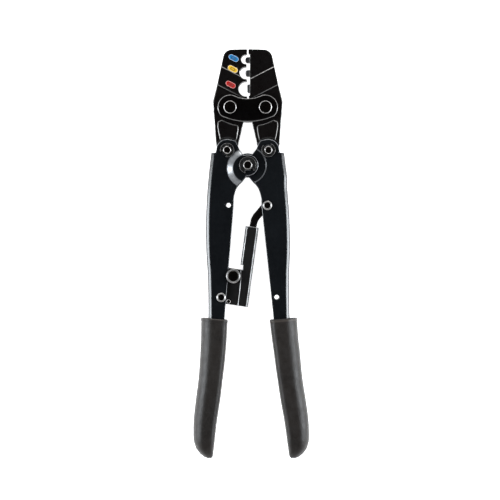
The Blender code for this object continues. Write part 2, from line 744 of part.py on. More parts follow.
# Jaws
jaw_left = jaw("jaw_left", -1, nest_side(), PIN_B_R + RUNNING, left_jaw)
for mark, mark_x, mark_y, face in MARKS:
    room = plate(mark + "_room", stadium(mark_x, mark_y, MARK_HALF + 0.25, MARK_REACH, MARK_TILT),
                 face - MARK_DEPTH, face + 2, left_jaw)
    combine(jaw_left, room, "DIFFERENCE")
    inlay = plate(mark, stadium(mark_x, mark_y, MARK_HALF, MARK_REACH, MARK_TILT),
                  face - MARK_DEPTH + 0.25, face + 0.15, left_jaw)
    finish(inlay, MARK_PAINT[mark])
finish(jaw_left, BLACK_OXIDE)
jaw_right = jaw("jaw_right", 1, anvil_side(), PIN_B_R + OPEN_PIVOT_PLAY, right_jaw)
room_half = DIE_HALF + DIE_GAP
combine(jaw_right, plate("die_room", die_room_outline(), -room_half, room_half, right_jaw), "DIFFERENCE")
finish(jaw_right, BLACK_OXIDE)
finish(plate("indenter_die", rounded(indenter_outline()), -DIE_HALF, DIE_HALF, right_jaw), BRIGHT_STEEL)

# Links and their riveted pins
for face_name, low, high in (("front", LINK_IN, LINK_OUT), ("rear", -LINK_OUT, -LINK_IN)):
    link = plate("link_plate_" + face_name, link_outline(), low, high, links)
    bevel(link, 0.4, 1, 50)
    holes(link, links, [(*A_LEFT, PIN_A_R + RUNNING), (*PIVOT_A, PIN_A_R + RUNNING)])
    finish(link, BLACK_OXIDE)
head = LINK_OUT + HEAD_GAP
half_pin = [(0, head + 1.5), (3.2, head + 1.5), (4.1, head + 0.7), (4.1, head), (PIN_A_R, head)]
link_pin = half_pin + [(r, -z) for r, z in half_pin[::-1]]
for pin_name, centre in (("link_pin_left", A_LEFT), ("link_pin_right", PIVOT_A)):
    finish(turned(pin_name, link_pin, centre, links), PIN_STEEL)

# Handle pins, the centre pin and their clips
finish(grooved_pin("handle_pin_left", B_LEFT, left_handle, **HANDLE_PIN), PIN_STEEL)
finish(grooved_pin("handle_pin_right", PIVOT_B, right_handle, **HANDLE_PIN), PIN_STEEL)
finish(grooved_pin("center_pin", PIVOT_C, left_handle, **CENTER_PIN), PIN_STEEL)
finish(e_clip("clip_left", B_LEFT, PIN_B_R, HANDLE_CLIP_R, CHEEK_OUT, 225, left_handle), BLACK_OXIDE)
finish(e_clip("clip_right", PIVOT_B, PIN_B_R, HANDLE_CLIP_R, CHEEK_OUT, 100, right_handle), BLACK_OXIDE)
finish(e_clip("clip_center", PIVOT_C, PIN_C_R, CENTER_CLIP_R, OUTER_EAR_OUT, 285, left_handle),
       BLACK_OXIDE)
sleeve_half = INNER_EAR_IN - 0.3
sleeve = [(3.5, sleeve_half), (5.2, sleeve_half), (5.2, -sleeve_half), (3.5, -sleeve_half)]
finish(turned("center_spacer", sleeve, PIVOT_C, left_handle, closed=True), PIN_STEEL)

# Ratchet
bar = plate("ratchet_bar", bar_outline(), -BAR_HALF, BAR_HALF, bar_axis)
holes(bar, bar_axis, [(*BAR_RIVET, RIVET_R + RUNNING)])
finish(bar, BLACK_OXIDE)
finish(eyelet_rivet("bar_rivet", BAR_RIVET, right_handle), PIN_STEEL)
near, far = BAR_HALF + 0.3, CHEEK_IN - 0.3
for face_name, low, high in (("front", near, far), ("rear", -far, -near)):
    ring = [(2.05, high), (3.4, high), (3.4, low), (2.05, low)]
    finish(turned("bar_spacer_" + face_name, ring, BAR_RIVET, right_handle, closed=True), PIN_STEEL)
finish(eyelet_rivet("housing_rivet", HOUSING_RIVET, left_handle), PIN_STEEL)
tray = housing(housing_axis)
pawl_hole = (*PAWL_AXIS, 2.2)
rivet_hole = (*HOUSING_RIVET, RIVET_R + RUNNING)
anchor_hole = (*ANCHOR, 1.3)
holes(tray, housing_axis, [pawl_hole, rivet_hole, anchor_hole])
finish(tray, HOUSING_STEEL)
cover = plate("housing_cover", rounded(HOUSING_EDGE), -HOUSING_FACE, COVER_TOP, housing_axis)
holes(cover, housing_axis, [pawl_hole, rivet_hole, anchor_hole])
finish(cover, HOUSING_STEEL)
anchor = [(0, 4.1), (0.8, 4.1), (1.1, 3.9), (1.1, -4.1), (0, -4.1)]
finish(turned("spring_anchor_pin", anchor, ANCHOR, housing_axis, 20), PIN_STEEL)
finish(pawl_spring(housing_axis), BRIGHT_STEEL)
pawl = plate("pawl", pawl_outline(), -1.9, 1.9, pawl_axis)
holes(pawl, pawl_axis, [pawl_hole])
finish(pawl, PIN_STEEL)
knob_low = CHEEK_OUT + 0.3
knob = [(0, knob_low + 1.4), (3.4, knob_low + 1.4), (3.6, knob_low + 2.0), (4.3, knob_low + 2.0),
        (4.75, knob_low + 1.5), (4.75, knob_low), (1.95, knob_low), (1.95, -4.4), (0, -4.4)]
finish(turned("release_knob", knob, PAWL_AXIS, pawl_axis, 28), PIN_STEEL)

for piece in PARTS.objects:
    if piece.type == "MESH":
        piece.data.shade_smooth()
        piece.data.set_sharp_from_angle(angle=radians(35))
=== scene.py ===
"""Looks of a ratchet crimping tool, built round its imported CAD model.

Outlines are drawn in millimetres from the centre pin, X to the right and Y towards the jaws,
with heights measured from the tool's middle plane. Every pivot comes from the record's joints
and every level from the CAD nodes' boxes.
"""

import json
from math import atan2, ceil, copysign, cos, degrees, dist, hypot, pi, radians, sin, tan

import bmesh
import bpy
import numpy as np
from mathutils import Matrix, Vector
from mathutils.geometry import delaunay_2d_cdt


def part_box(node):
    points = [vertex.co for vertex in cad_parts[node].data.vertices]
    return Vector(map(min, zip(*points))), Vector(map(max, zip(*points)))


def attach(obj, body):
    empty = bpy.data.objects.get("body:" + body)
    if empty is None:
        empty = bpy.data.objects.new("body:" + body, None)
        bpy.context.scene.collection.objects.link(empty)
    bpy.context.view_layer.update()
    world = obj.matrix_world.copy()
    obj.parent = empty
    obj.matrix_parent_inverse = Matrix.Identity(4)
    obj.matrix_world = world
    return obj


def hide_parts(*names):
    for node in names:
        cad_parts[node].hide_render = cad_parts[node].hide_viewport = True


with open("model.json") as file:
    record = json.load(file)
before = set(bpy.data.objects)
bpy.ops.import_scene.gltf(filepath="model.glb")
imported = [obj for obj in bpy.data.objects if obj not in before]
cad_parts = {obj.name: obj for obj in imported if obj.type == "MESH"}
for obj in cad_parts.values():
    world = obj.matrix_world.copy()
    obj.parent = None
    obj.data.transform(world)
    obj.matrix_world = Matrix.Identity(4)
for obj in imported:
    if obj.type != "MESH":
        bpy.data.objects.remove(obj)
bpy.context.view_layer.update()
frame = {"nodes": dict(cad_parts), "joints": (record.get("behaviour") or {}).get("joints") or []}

MM = 0.001
JOINT_AT = {joint["name"]: Vector(joint["pos_m"]) for joint in frame["joints"]}
ORIGIN = JOINT_AT["handle_pivot"]


# ---------- places read from the frame

def spot(place):
    """A place in the frame as millimetres from the centre pin, seen from the front."""
    return ((place[0] - ORIGIN.x) / MM, (place[1] - ORIGIN.y) / MM)


def middle(node):
    low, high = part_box(node)
    return spot((low + high) / 2)


def top(node):
    """How high a node reaches above the tool's middle plane, in millimetres."""
    return (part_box(node)[1].z - ORIGIN.z) / MM


def foot(node):
    return (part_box(node)[0].z - ORIGIN.z) / MM


PIVOT_C = (0.0, 0.0)
B_LEFT = spot(JOINT_AT["left_jaw_pivot"])
B_RIGHT = middle("handle_pin_right")
A_LEFT = spot(JOINT_AT["link_pivot"])
A_RIGHT = spot(JOINT_AT["right_jaw_pivot"])
BAR_RIVET = spot(JOINT_AT["bar_pivot"])
HOUSING_RIVET = spot(JOINT_AT["housing_pivot"])
PAWL_AXIS = spot(JOINT_AT["pawl_lift"])
ANCHOR = middle("spring_anchor_pin")

EAR_TOP = top("handle_left")
CHEEK_TOP = top("handle_right")
SHEET = 2.2
INNER_EAR_TOP = CHEEK_TOP - 0.6
JAW_FACE = top("jaw_left")
LINK_TOP = top("link_plate_front")
LINK_LOW = foot("link_plate_front")
HOUSING_FACE = top("ratchet_housing")
HOUSING_BACK = foot("ratchet_housing")
COVER_TOP = top("housing_cover")
BAR_HALF = top("ratchet_bar")
DIE_HALF = top("indenter_die")


# ---------- outlines

def unit(*values):
    """The least of the values, kept between 0 and 1."""
    return max(0.0, min(1.0, *values))


def arc(centre, radius, start, end, steps):
    """Points round a circle, with the angles in degrees."""
    angles = [radians(start + (end - start) * i / steps) for i in range(steps + 1)]
    return [(centre[0] + radius * cos(a), centre[1] + radius * sin(a)) for a in angles]


def circle(centre, radius, steps=48):
    return arc(centre, radius, 0, 360, steps)[:-1]


def rounded(corners, turn_step=8.0):
    """A closed outline whose corners (x, y, radius) are turned into arcs."""
    points = []
    for i, (x, y, *radius) in enumerate(corners):
        if not radius:
            points.append((x, y))
            continue
        before, after = corners[i - 1], corners[(i + 1) % len(corners)]
        ax, ay = before[0] - x, before[1] - y
        bx, by = after[0] - x, after[1] - y
        la, lb = hypot(ax, ay), hypot(bx, by)
        cosine = max(-1.0, min(1.0, (ax * bx + ay * by) / (la * lb)))
        turn = pi - atan2(abs(ax * by - ay * bx) / (la * lb), cosine)
        reach = min(radius[0] * tan(turn / 2), 0.48 * la, 0.48 * lb)
        r = reach / tan(turn / 2)
        mx, my = ax / la + bx / lb, ay / la + by / lb
        depth = hypot(r, reach) / hypot(mx, my)
        cx, cy = x + mx * depth, y + my * depth
        first = atan2(y + ay / la * reach - cy, x + ax / la * reach - cx)
        last = atan2(y + by / lb * reach - cy, x + bx / lb * reach - cx)
        sweep = (last - first + pi) % (2 * pi) - pi
        steps = max(1, ceil(degrees(abs(sweep)) / turn_step))
        angles = [first + sweep * k / steps for k in range(steps + 1)]
        points += [(cx + r * cos(a), cy + r * sin(a)) for a in angles]
    return points


def flowing(points, step):
    """A smooth line through the points, with about one point per step."""
    def beyond(a, b):
        return (2 * a[0] - b[0], 2 * a[1] - b[1])
    full = [beyond(*points[:2]), *(point[:2] for point in points), beyond(*points[:-3:-1])]
    line = []
    for p0, p1, p2, p3 in zip(full, full[1:], full[2:], full[3:]):
        pieces = max(1, round(dist(p1, p2) / step))
        for k in range(pieces):
            t = k / pieces
            line.append(tuple(0.5 * (2 * b + (c - a) * t + (2 * a - 5 * b + 4 * c - d) * t * t
                                     + (3 * b - a - 3 * c + d) * t ** 3)
                              for a, b, c, d in zip(p0, p1, p2, p3)))
    return line + [tuple(full[-2])]


def mirrored(points):
    return [(-p[0], *p[1:]) for p in points]


SPLAY = tan(radians(1.5))
SET_IN = 0.9


def splayed(points):
    """The right handle's outline: the left one mirrored, leaning out below and set in between."""
    def set_in(y):
        share = unit((-6.0 - y) / 10.0, (y + 127.0) / 27.0)
        return SET_IN * share * share * (3 - 2 * share)
    return [(-p[0] - SPLAY * min(p[1], 0.0) - set_in(p[1]), *p[1:]) for p in points]


def as_drawn(points):
    return points


def thinned(points, least):
    """The line without points that crowd the one before, but with both its ends."""
    kept = [points[0]]
    for point in points[1:-1]:
        if dist(point, kept[-1]) > least:
            kept.append(point)
    return kept + [points[-1]]


def spaced(outline, least=0.07):
    """The closed outline without points that crowd the one before."""
    kept = thinned([tuple(point[:2]) for point in outline], least)
    if dist(kept[-1], kept[-2]) <= least:
        kept.pop()
    while dist(kept[0], kept[-1]) <= least:
        kept.pop()
    return kept


def signed_area(loop):
    return sum(a[0] * b[1] - b[0] * a[1] for a, b in zip(loop, loop[1:] + loop[:1])) / 2


def wound(loops):
    """The first loop running anticlockwise and the others, its holes, clockwise."""
    return [loop if (signed_area(loop) > 0) == (i == 0) else loop[::-1]
            for i, loop in enumerate(loops)]


def offset(loop, depths):
    """The loop moved to its left by a depth at each point."""
    moved = []
    count = len(loop)
    for i, ((x, y), depth) in enumerate(zip(loop, depths)):
        (x0, y0), (x1, y1) = loop[i - 1], loop[(i + 1) % count]
        before, after = hypot(x - x0, y - y0), hypot(x1 - x, y1 - y)
        nx = -(y - y0) / before - (y1 - y) / after
        ny = (x - x0) / before + (x1 - x) / after
        length = max(hypot(nx, ny), 1e-6)
        reach = depth / max(length / 2, 0.45) / length
        moved.append((x + nx * reach, y + ny * reach))
    return moved


def inside(points, loops):
    """Which points lie in the area that the loops enclose, holes left out."""
    points = np.asarray(points, float).reshape(-1, 2)
    odd = np.zeros(len(points), bool)
    for loop in loops:
        a = np.asarray(loop, float)
        b = np.roll(a, -1, axis=0)
        for (ax, ay), (bx, by) in zip(a, b):
            if ay != by:
                crosses = (ay > points[:, 1]) != (by > points[:, 1])
                odd ^= crosses & (points[:, 0] < (bx - ax) * (points[:, 1] - ay) / (by - ay) + ax)
    return odd


def keep_clear(points, loops, least):
    """The points that lie inside the loops and not too near any of them."""
    spots = np.asarray(points, float).reshape(-1, 2)
    spots = spots[inside(spots, loops)]
    near = np.full(len(spots), np.inf)
    for loop in loops:
        a = np.asarray(loop, float)
        for start, run in zip(a, np.roll(a, -1, axis=0) - a):
            t = np.clip((spots - start) @ run / max(run @ run, 1e-12), 0, 1)
            near = np.minimum(near, np.hypot(*(spots - start - t[:, None] * run).T))
    return spots[near > least].tolist()


CLEAR_OF_EDGES = 0.55
WELD = 1e-5
NO_AREA = 1e-9


def filled(loops, lines=(), points=()):
    """Triangles that fill the loops' area, with the lines as edges and the points as corners."""
    spots, edges = [], []
    for line, closed in [(loop, 1) for loop in loops] + [(line, 0) for line in lines]:
        first, count = len(spots), len(line)
        spots += line
        edges += [(first + i, first + (i + 1) % count) for i in range(count - 1 + closed)]
    spots += keep_clear(points, loops, CLEAR_OF_EDGES)
    made = delaunay_2d_cdt([Vector(p) for p in spots], edges, [], 0, WELD, True)
    verts = np.array([tuple(v) for v in made[0]])
    faces = np.array(made[2])
    faces = faces[inside(verts[faces].mean(axis=1), loops)]
    a, b, c = verts[faces].transpose(1, 2, 0)
    area = (b[0] - a[0]) * (c[1] - a[1]) - (b[1] - a[1]) * (c[0] - a[0])
    faces[area < 0] = faces[area < 0][:, ::-1]
    used, faces = np.unique(faces[np.abs(area) > NO_AREA], return_inverse=True)
    return verts[used], faces.reshape(-1, 3)


def borders(faces):
    """The open borders as lists of corners, each with its faces on the left."""
    edges = dict.fromkeys((int(a), int(b)) for face in faces
                          for a, b in zip(face, (*face[1:], face[0])))
    after = {a: b for a, b in edges if (b, a) not in edges}
    loops = []
    while after:
        start, here = next(iter(after.items()))
        loop = [start]
        del after[start]
        while here != start:
            loop.append(here)
            here = after.pop(here)
        loops.append(loop)
    return loops


def stitched(rings, closed=True):
    """Faces between each ring of corners and the next one, some of them perhaps a single point."""
    quads = [(upper[i], upper[i - 1], lower[i - 1], lower[i])
             for upper, lower in zip(rings, rings[1:])
             for i in range(0 if closed else 1, len(upper))]
    faces = [tuple(dict.fromkeys(quad)) for quad in quads]
    return [face for face in faces if len(face) > 2]


def both_sides(faces, count):
    """The faces, and the same ones turned over on a second layer of corners."""
    return ([tuple(face) for face in faces]
            + [tuple(int(i) + count for i in face[::-1]) for face in faces])


# ---------- pieces

SHARP_ANGLE = 32.0
TURN_STEPS = 64
# The weight that Blender's weighted normals give a strong face
FLATNESS = "__mod_weightednormals_faceweight"
STRONG = 16384
# A rounded edge takes at most this share of the thickness, and wears less above this radius
EDGE_SHARE = 0.45
WORN_RADIUS = 0.75
LAST_RING_WEAR = 0.02


def placed(name, data):
    """A new object in the scene."""
    obj = bpy.data.objects.new(name, data)
    bpy.context.scene.collection.objects.link(obj)
    return obj


def piece(name, verts, faces, mat, body, slot, nodes=(), sharp=SHARP_ANGLE, centre=PIVOT_C,
          weighted=True, worn_and_sheen=None):
    """A named mesh from millimetres, with each corner's wear and painted highlight, riding on its
    CAD body.
    """
    verts = np.array(verts, float)
    verts[:, :2] -= centre
    mesh = bpy.data.meshes.new(name)
    mesh.from_pydata((verts * MM).tolist(), [], [tuple(int(i) for i in face) for face in faces])
    obj = placed(name, mesh)
    obj.location = (ORIGIN.x + centre[0] * MM, ORIGIN.y + centre[1] * MM, ORIGIN.z)
    mesh.materials.append(mat)
    # Worn edges, and painted highlights and reflections on steps, creases, dishes and the grips'
    # lips, for the materials to lighten
    wear_and_sheen = mesh.attributes.new("wear_and_sheen", "FLOAT", "POINT")
    wear_and_sheen.data.foreach_set("value", np.zeros(len(verts)) if worn_and_sheen is None else np.array(worn_and_sheen, float))
    tidy_mesh(obj, sharp, weighted)
    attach(obj, body)
    if nodes:
        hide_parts(*nodes)
    return obj


def tidy_mesh(obj, sharp, weighted):
    """Welded corners, outward faces and smooth shading with even flats."""
    bm = bmesh.new()
    bm.from_mesh(obj.data)
    bmesh.ops.remove_doubles(bm, verts=bm.verts, dist=2e-7)
    bmesh.ops.recalc_face_normals(bm, faces=bm.faces)
    strength = bm.faces.layers.int.get(FLATNESS) or bm.faces.layers.int.new(FLATNESS)
    for face in bm.faces:
        lift = abs(face.normal.z)
        face[strength] = STRONG if lift > 0.9995 or lift < 0.01 else 0
    bm.to_mesh(obj.data)
    bm.free()
    obj.data.shade_smooth()
    obj.data.set_sharp_from_angle(angle=radians(sharp))
    if weighted:
        flats = obj.modifiers.new("flats", "WEIGHTED_NORMAL")
        flats.keep_sharp = True
        flats.use_face_influence = True


def height(level, x, y):
    return level(x, y) if callable(level) else level


def rounding(steps):
    """The rings of a rounded edge from the front to the back: side, angle and wear."""
    half = [(pi / 2 * k / steps, sin(pi * k / steps) if k < steps else LAST_RING_WEAR)
            for k in range(1, steps + 1)]
    return [(1, *ring) for ring in half] + [(-1, *ring) for ring in half[::-1]]


def slab(name, loops, front, back, edge, mat, body, slot, nodes=(), lines=(), steps=3, marks=None):
    """A plate with rounded edges. Its levels, edge radius and marks of wear and painted highlight
    may vary over it.
    """
    loops = wound([spaced(loop) for loop in loops])
    inset = [offset(loop, [height(edge, *p) for p in loop]) for loop in loops]
    flat, faces = filled(inset, lines)
    count = len(flat)
    fronts = np.array([height(front, *p) for p in flat])
    backs = np.array([height(back, *p) for p in flat])
    verts = [(*p, z) for levels in (fronts, backs) for p, z in zip(flat, levels)]
    worn_and_sheen = [marks(*p) if marks else 0.0 for p in flat] * 2
    solid = both_sides(faces, count)
    for border in borders(faces):
        row = [tuple(flat[i]) for i in border]
        radius = [height(edge, *p) for p in row]
        outer = offset(row, [-r for r in radius])
        rings = [border]
        for side, angle, wear_and_sheen in rounding(steps):
            rings.append(range(len(verts), len(verts) + len(border)))
            share = sin(angle)
            for i, p, q, r in zip(border, row, outer, radius):
                level = fronts[i] if side == 1 else backs[i]
                drop = min(r, EDGE_SHARE * (fronts[i] - backs[i])) * (1 - cos(angle))
                worn_and_sheen.append(wear_and_sheen * min(1.0, WORN_RADIUS / r))
                verts.append((p[0] + (q[0] - p[0]) * share, p[1] + (q[1] - p[1]) * share,
                              level - side * drop))
        rings.append([i + count for i in border])
        solid += stitched(rings)
    return piece(name, verts, solid, mat, body, slot, nodes, worn_and_sheen=worn_and_sheen)


def turned(name, profile, centre, mat, body, nodes=(), closed=False):
    """A turned piece about Z from a profile of (radius, height) from top to bottom."""
    if closed:
        profile = rounded(profile, 22.5)
    else:
        profile = rounded([(-1, profile[0][1]), *profile, (-1, profile[-1][1])], 22.5)[1:-1]
    verts, rings = [], []
    for r, z in profile:
        ring = circle(centre, r, TURN_STEPS) if r > 1e-6 else [centre]
        rings.append([len(verts) + i % len(ring) for i in range(TURN_STEPS)])
        verts += [(*p, z) for p in ring]
    faces = stitched(rings + rings[:1] if closed else rings)
    return piece(name, verts, faces, mat, body, "pin_steel", nodes, 50.0, centre)


def carve(obj, cutter):
    """Cut the cutter out of a piece and take it away."""
    step = obj.modifiers.new("carve", "BOOLEAN")
    step.operation = "DIFFERENCE"
    step.solver = "EXACT"
    step.object = cutter
    obj.modifiers.remove(obj.modifiers["flats"])
    bpy.context.view_layer.update()
    seen = obj.evaluated_get(bpy.context.evaluated_depsgraph_get())
    mesh = bpy.data.meshes.new_from_object(seen)
    obj.modifiers.clear()
    obj.data = mesh
    bpy.data.objects.remove(cutter, do_unlink=True)
    tidy_mesh(obj, SHARP_ANGLE, True)


# ---------- materials

class Nodes:
    """Builds one procedural material."""

    def __init__(self, name):
        self.mat = bpy.data.materials.new(name)
        self.mat.use_nodes = True
        self.tree = self.mat.node_tree
        self.place = self.add("TexCoord").outputs["Object"]

    def feed(self, socket, value):
        """Give an input a fixed value or another node's output."""
        if isinstance(value, bpy.types.NodeSocket):
            self.tree.links.new(value, socket)
        else:
            socket.default_value = value

    def add(self, kind, **values):
        """A new node with its settings and inputs."""
        node = self.tree.nodes.new("ShaderNode" + kind)
        for key, value in values.items():
            if key in node.inputs:
                self.feed(node.inputs[key], value)
            else:
                setattr(node, key, value)
        return node

    def finish(self, **inputs):
        """Give the shader its inputs and return the material."""
        for name, value in inputs.items():
            self.feed(self.tree.nodes["Principled BSDF"].inputs[name.replace("_", " ")], value)
        return self.mat

    def noise(self, scale, detail=3, rough=0.5):
        return self.add("TexNoise", Scale=scale, Detail=detail, Roughness=rough,
                        Vector=self.place).outputs["Fac"]

    def spread(self, source, low, high, to_low=0, to_high=1):
        return self.add("MapRange", **{"Value": source, "From Min": low, "From Max": high,
                                       "To Min": to_low, "To Max": to_high}).outputs["Result"]

    def wear_and_sheen(self):
        return self.add("Attribute", attribute_name="wear_and_sheen").outputs["Fac"]

    def product(self, a, b):
        node = self.add("Math", operation="MULTIPLY")
        self.feed(node.inputs[0], a)
        self.feed(node.inputs[1], b)
        return node.outputs[0]

    def blend(self, share, a, b, kind="RGBA"):
        """Mix two colours or two values, each of them fixed or another node's output."""
        node = self.add("Mix", data_type=kind, Factor=share)
        first, out = (6, 2) if kind == "RGBA" else (2, 0)
        for socket, value in zip(node.inputs[first:first + 2], (a, b)):
            self.feed(socket, (*value, 1.0) if isinstance(value, tuple) else value)
        return node.outputs[out]

    def bump(self, source, depth_mm, **before):
        return self.add("Bump", Strength=1, Distance=depth_mm * MM, Height=source,
                        **before).outputs["Normal"]


def dark_metal(name, dark, light, rough, worn_and_sheen, worn_and_sheen_share, peel_mm, gleam=0.5, coat=0):
    """Blackened or painted steel: cloudy colour, uneven gloss, fine peel, and a worn colour that
    shows bare metal on edges and paints highlights where the meshes mark them.
    """
    nodes = Nodes(name)
    base = nodes.blend(nodes.spread(nodes.noise(60, 4), 0.35, 0.7), dark, light)
    patchy = nodes.spread(nodes.noise(260, 5, 0.6), 0.36, 0.62, 0.6, 1)
    # Where the meshes mark it: bare metal on worn edges, and painted highlights on steps, creases
    # and dishes
    worn_and_sheen_here = nodes.spread(nodes.product(nodes.wear_and_sheen(), patchy), 0, 1, 0, worn_and_sheen_share)
    gloss = nodes.spread(nodes.noise(420, 4, 0.6), 0.3, 0.7, *rough)
    return nodes.finish(Base_Color=nodes.blend(worn_and_sheen_here, base, worn_and_sheen),
                        Roughness=nodes.blend(worn_and_sheen_here, gloss, 0.3, "FLOAT"),
                        Metallic=worn_and_sheen_here, Normal=nodes.bump(nodes.noise(700, 2), peel_mm),
                        Specular_IOR_Level=gleam, Coat_Weight=coat, Coat_Roughness=0.22)


def turned_metal(name, colour, shade, rough, ring_mm=0.002):
    """Lathe-turned steel: fine rings about the piece's own axis and a little staining."""
    nodes = Nodes(name)
    stain = nodes.spread(nodes.noise(420, 5, 0.6), 0.38, 0.66)
    rings = nodes.add("TexWave", wave_type="RINGS", rings_direction="Z", Scale=1500,
                      Distortion=1.2, Vector=nodes.place)
    fine = nodes.bump(rings.outputs["Fac"], ring_mm)
    return nodes.finish(Base_Color=nodes.blend(stain, colour, shade), Metallic=1,
                        Roughness=nodes.spread(nodes.noise(900), 0.3, 0.7, *rough),
                        Normal=nodes.bump(nodes.noise(1800), ring_mm, Normal=fine))


def drawn_wire(name, colour, shade, rough):
    """Bare steel wire with fine, uneven marks."""
    nodes = Nodes(name)
    marks = nodes.noise(900, 4, 0.6)
    return nodes.finish(Base_Color=nodes.blend(nodes.spread(marks, 0.3, 0.7), colour, shade),
                        Metallic=1, Roughness=nodes.spread(marks, 0.3, 0.7, *rough),
                        Normal=nodes.bump(marks, 0.015))


def moulded_rubber(name, dark, light, rough):
    """Moulded soft plastic: fine pebble grain, faint clouds, and high spots painted lighter: partly
    rubbed, partly a painted highlight.
    """
    nodes = Nodes(name)
    cloud = nodes.spread(nodes.noise(45, 5, 0.6), 0.34, 0.7)
    speck = nodes.spread(nodes.noise(900, 3, 0.7), 0.42, 0.66, 0, 0.9)
    base = nodes.blend(speck, nodes.blend(cloud, dark, light), light)
    # The marked lip painted lighter: partly rubbed, partly a painted highlight
    painted_sheen = nodes.spread(nodes.wear_and_sheen(), 0, 1, 0, 0.75)
    pebbles = nodes.add("TexVoronoi", Scale=850, Randomness=1, Vector=nodes.place)
    fine = nodes.bump(pebbles.outputs["Distance"], 0.09)
    return nodes.finish(Base_Color=nodes.blend(painted_sheen, base, tuple(3.2 * c for c in light)),
                        Roughness=nodes.spread(nodes.noise(300, 4), 0.3, 0.7, *rough),
                        Normal=nodes.bump(nodes.noise(240), 0.025, Normal=fine),
                        Specular_IOR_Level=0.3)


def enamel(name, dark, light):
    """Filled paint: slightly uneven colour and a soft gloss."""
    nodes = Nodes(name)
    cloud = nodes.spread(nodes.noise(900, 4, 0.6), 0.35, 0.65)
    return nodes.finish(Base_Color=nodes.blend(cloud, dark, light),
                        Roughness=nodes.spread(nodes.noise(1500), 0.3, 0.7, 0.25, 0.5),
                        Normal=nodes.bump(nodes.noise(1300), 0.02), Specular_IOR_Level=0.25)


BLACK_STEEL = dark_metal("handle_paint", (0.0024, 0.003, 0.0038), (0.004, 0.0049, 0.006),
                         (0.2, 0.27), (0.46, 0.475, 0.495), 0.75, 0.0008, 0.5, 0.25)
BLACK_OXIDE = dark_metal("jaw_oxide", (0.0021, 0.0016, 0.0015), (0.0035, 0.0028, 0.0027),
                         (0.25, 0.34), (0.42, 0.41, 0.4), 0.85, 0.0012, 0.2)
HOUSING_STEEL = dark_metal("housing_oxide", (0.0052, 0.005, 0.005), (0.0088, 0.0085, 0.0085),
                           (0.32, 0.42), (0.42, 0.42, 0.42), 0.9, 0.002, 0.2)
LINK_STEEL = dark_metal("link_oxide", (0.0006, 0.0004, 0.0004), (0.0012, 0.0009, 0.0009),
                        (0.25, 0.34), (0.42, 0.41, 0.4), 0.8, 0.001, 0.12)
CLIP_STEEL = dark_metal("clip_steel", (0.006, 0.006, 0.006), (0.01, 0.01, 0.01),
                        (0.25, 0.35), (0.4, 0.39, 0.38), 0.6, 0.001, 0.4)
PIN_STEEL = turned_metal("pin_steel", (0.42, 0.415, 0.41), (0.28, 0.275, 0.27), (0.36, 0.48))
RING_STEEL = turned_metal("ring_steel", (0.62, 0.61, 0.6), (0.45, 0.44, 0.43), (0.36, 0.46))
DARK_PIN = turned_metal("dark_pin_steel", (0.022, 0.018, 0.016), (0.012, 0.01, 0.009),
                        (0.26, 0.36))
DIE_STEEL = dark_metal("die_face", (0.035, 0.035, 0.037), (0.075, 0.075, 0.078),
                       (0.34, 0.46), (0.66, 0.66, 0.65), 1, 0.0016, 0.5)
SPRING_STEEL = drawn_wire("spring_steel", (0.5, 0.5, 0.5), (0.3, 0.3, 0.3), (0.22, 0.38))
GRIP_RUBBER = moulded_rubber("grip_rubber", (0.0052, 0.0042, 0.0036), (0.0145, 0.012, 0.0105),
                             (0.38, 0.52))
MARK_LINE = enamel("mark_line", (0.05, 0.04, 0.04), (0.09, 0.07, 0.06))
# The marks: the rim's two colours and the fill's two colours
MARKS = {
    "red": ((0.5, 0.2, 0.19), (0.6, 0.28, 0.26), (0.3, 0.003, 0.003), (0.38, 0.008, 0.007)),
    "yellow": ((0.66, 0.5, 0.28), (0.76, 0.6, 0.36), (0.58, 0.33, 0.008), (0.68, 0.43, 0.016)),
    "blue": ((0.22, 0.32, 0.48), (0.3, 0.42, 0.58), (0.003, 0.12, 0.31), (0.008, 0.18, 0.41)),
}


# ---------- handles

WEB_SIDE = [
    (-24.2, 8.4), (-25.5, -3), (-26.8, -17), (-27.6, -33), (-27.7, -46), (-27.4, -58), (-26.5, -72),
    (-26.1, -88), (-26.1, -102), (-26.8, -118), (-28.3, -137), (-30.2, -155), (-31.4, -170),
    (-31.6, -186)]
OPEN_SIDE = [
    (-24.9, -186), (-23.7, -171), (-21.2, -154), (-18.1, -132), (-15.9, -111), (-14.8, -95),
    (-12.15, -62.4), (-9.4, -29.3, 30), (-9.3, -22, 6), (-7.6, -15.4, 5), (-5.6, -12, 3),
    (-3.4, -9.5, 3)]
EAR_R = 7.2
BEND = 2.95
BEND_STEPS = 7
HANDLE_EDGE = 0.4
DISH_STEPS = 110
GRID = 3.5


def cheek_outline(lobe_radius):
    """The left handle's flat cheek: the bend's line, then round the ears to the open side."""
    web = [(x + BEND, y) for x, y in flowing(WEB_SIDE, 2.5)]
    ear = arc(B_LEFT, EAR_R, 163, 84, 16)
    shoulder = [(-8, 16.3, 3.4), (-5.5, 10.6, 2.5)]
    lobe = arc(PIVOT_C, lobe_radius, 112, -95, 40)
    open_side = [p for p in rounded(OPEN_SIDE[::-1] + [(-30, -186)]) if p[0] > -27.0]
    return web, rounded(ear + shoulder + lobe) + flowing(thinned(open_side, 3), 2.5)


def ear_share(y):
    """Wear by place: full round the ears, which rub on their neighbours, and little below them."""
    return 0.2 + 0.8 * unit((y + 14) / 6)


def eased(share):
    """A soft step: straight in the middle and rounded at both ends."""
    share = unit(share)
    return 0.45 * share + 0.55 * share * share * (3 - 2 * share)


def directions(vectors):
    return vectors / np.linalg.norm(vectors, axis=1)[:, None]


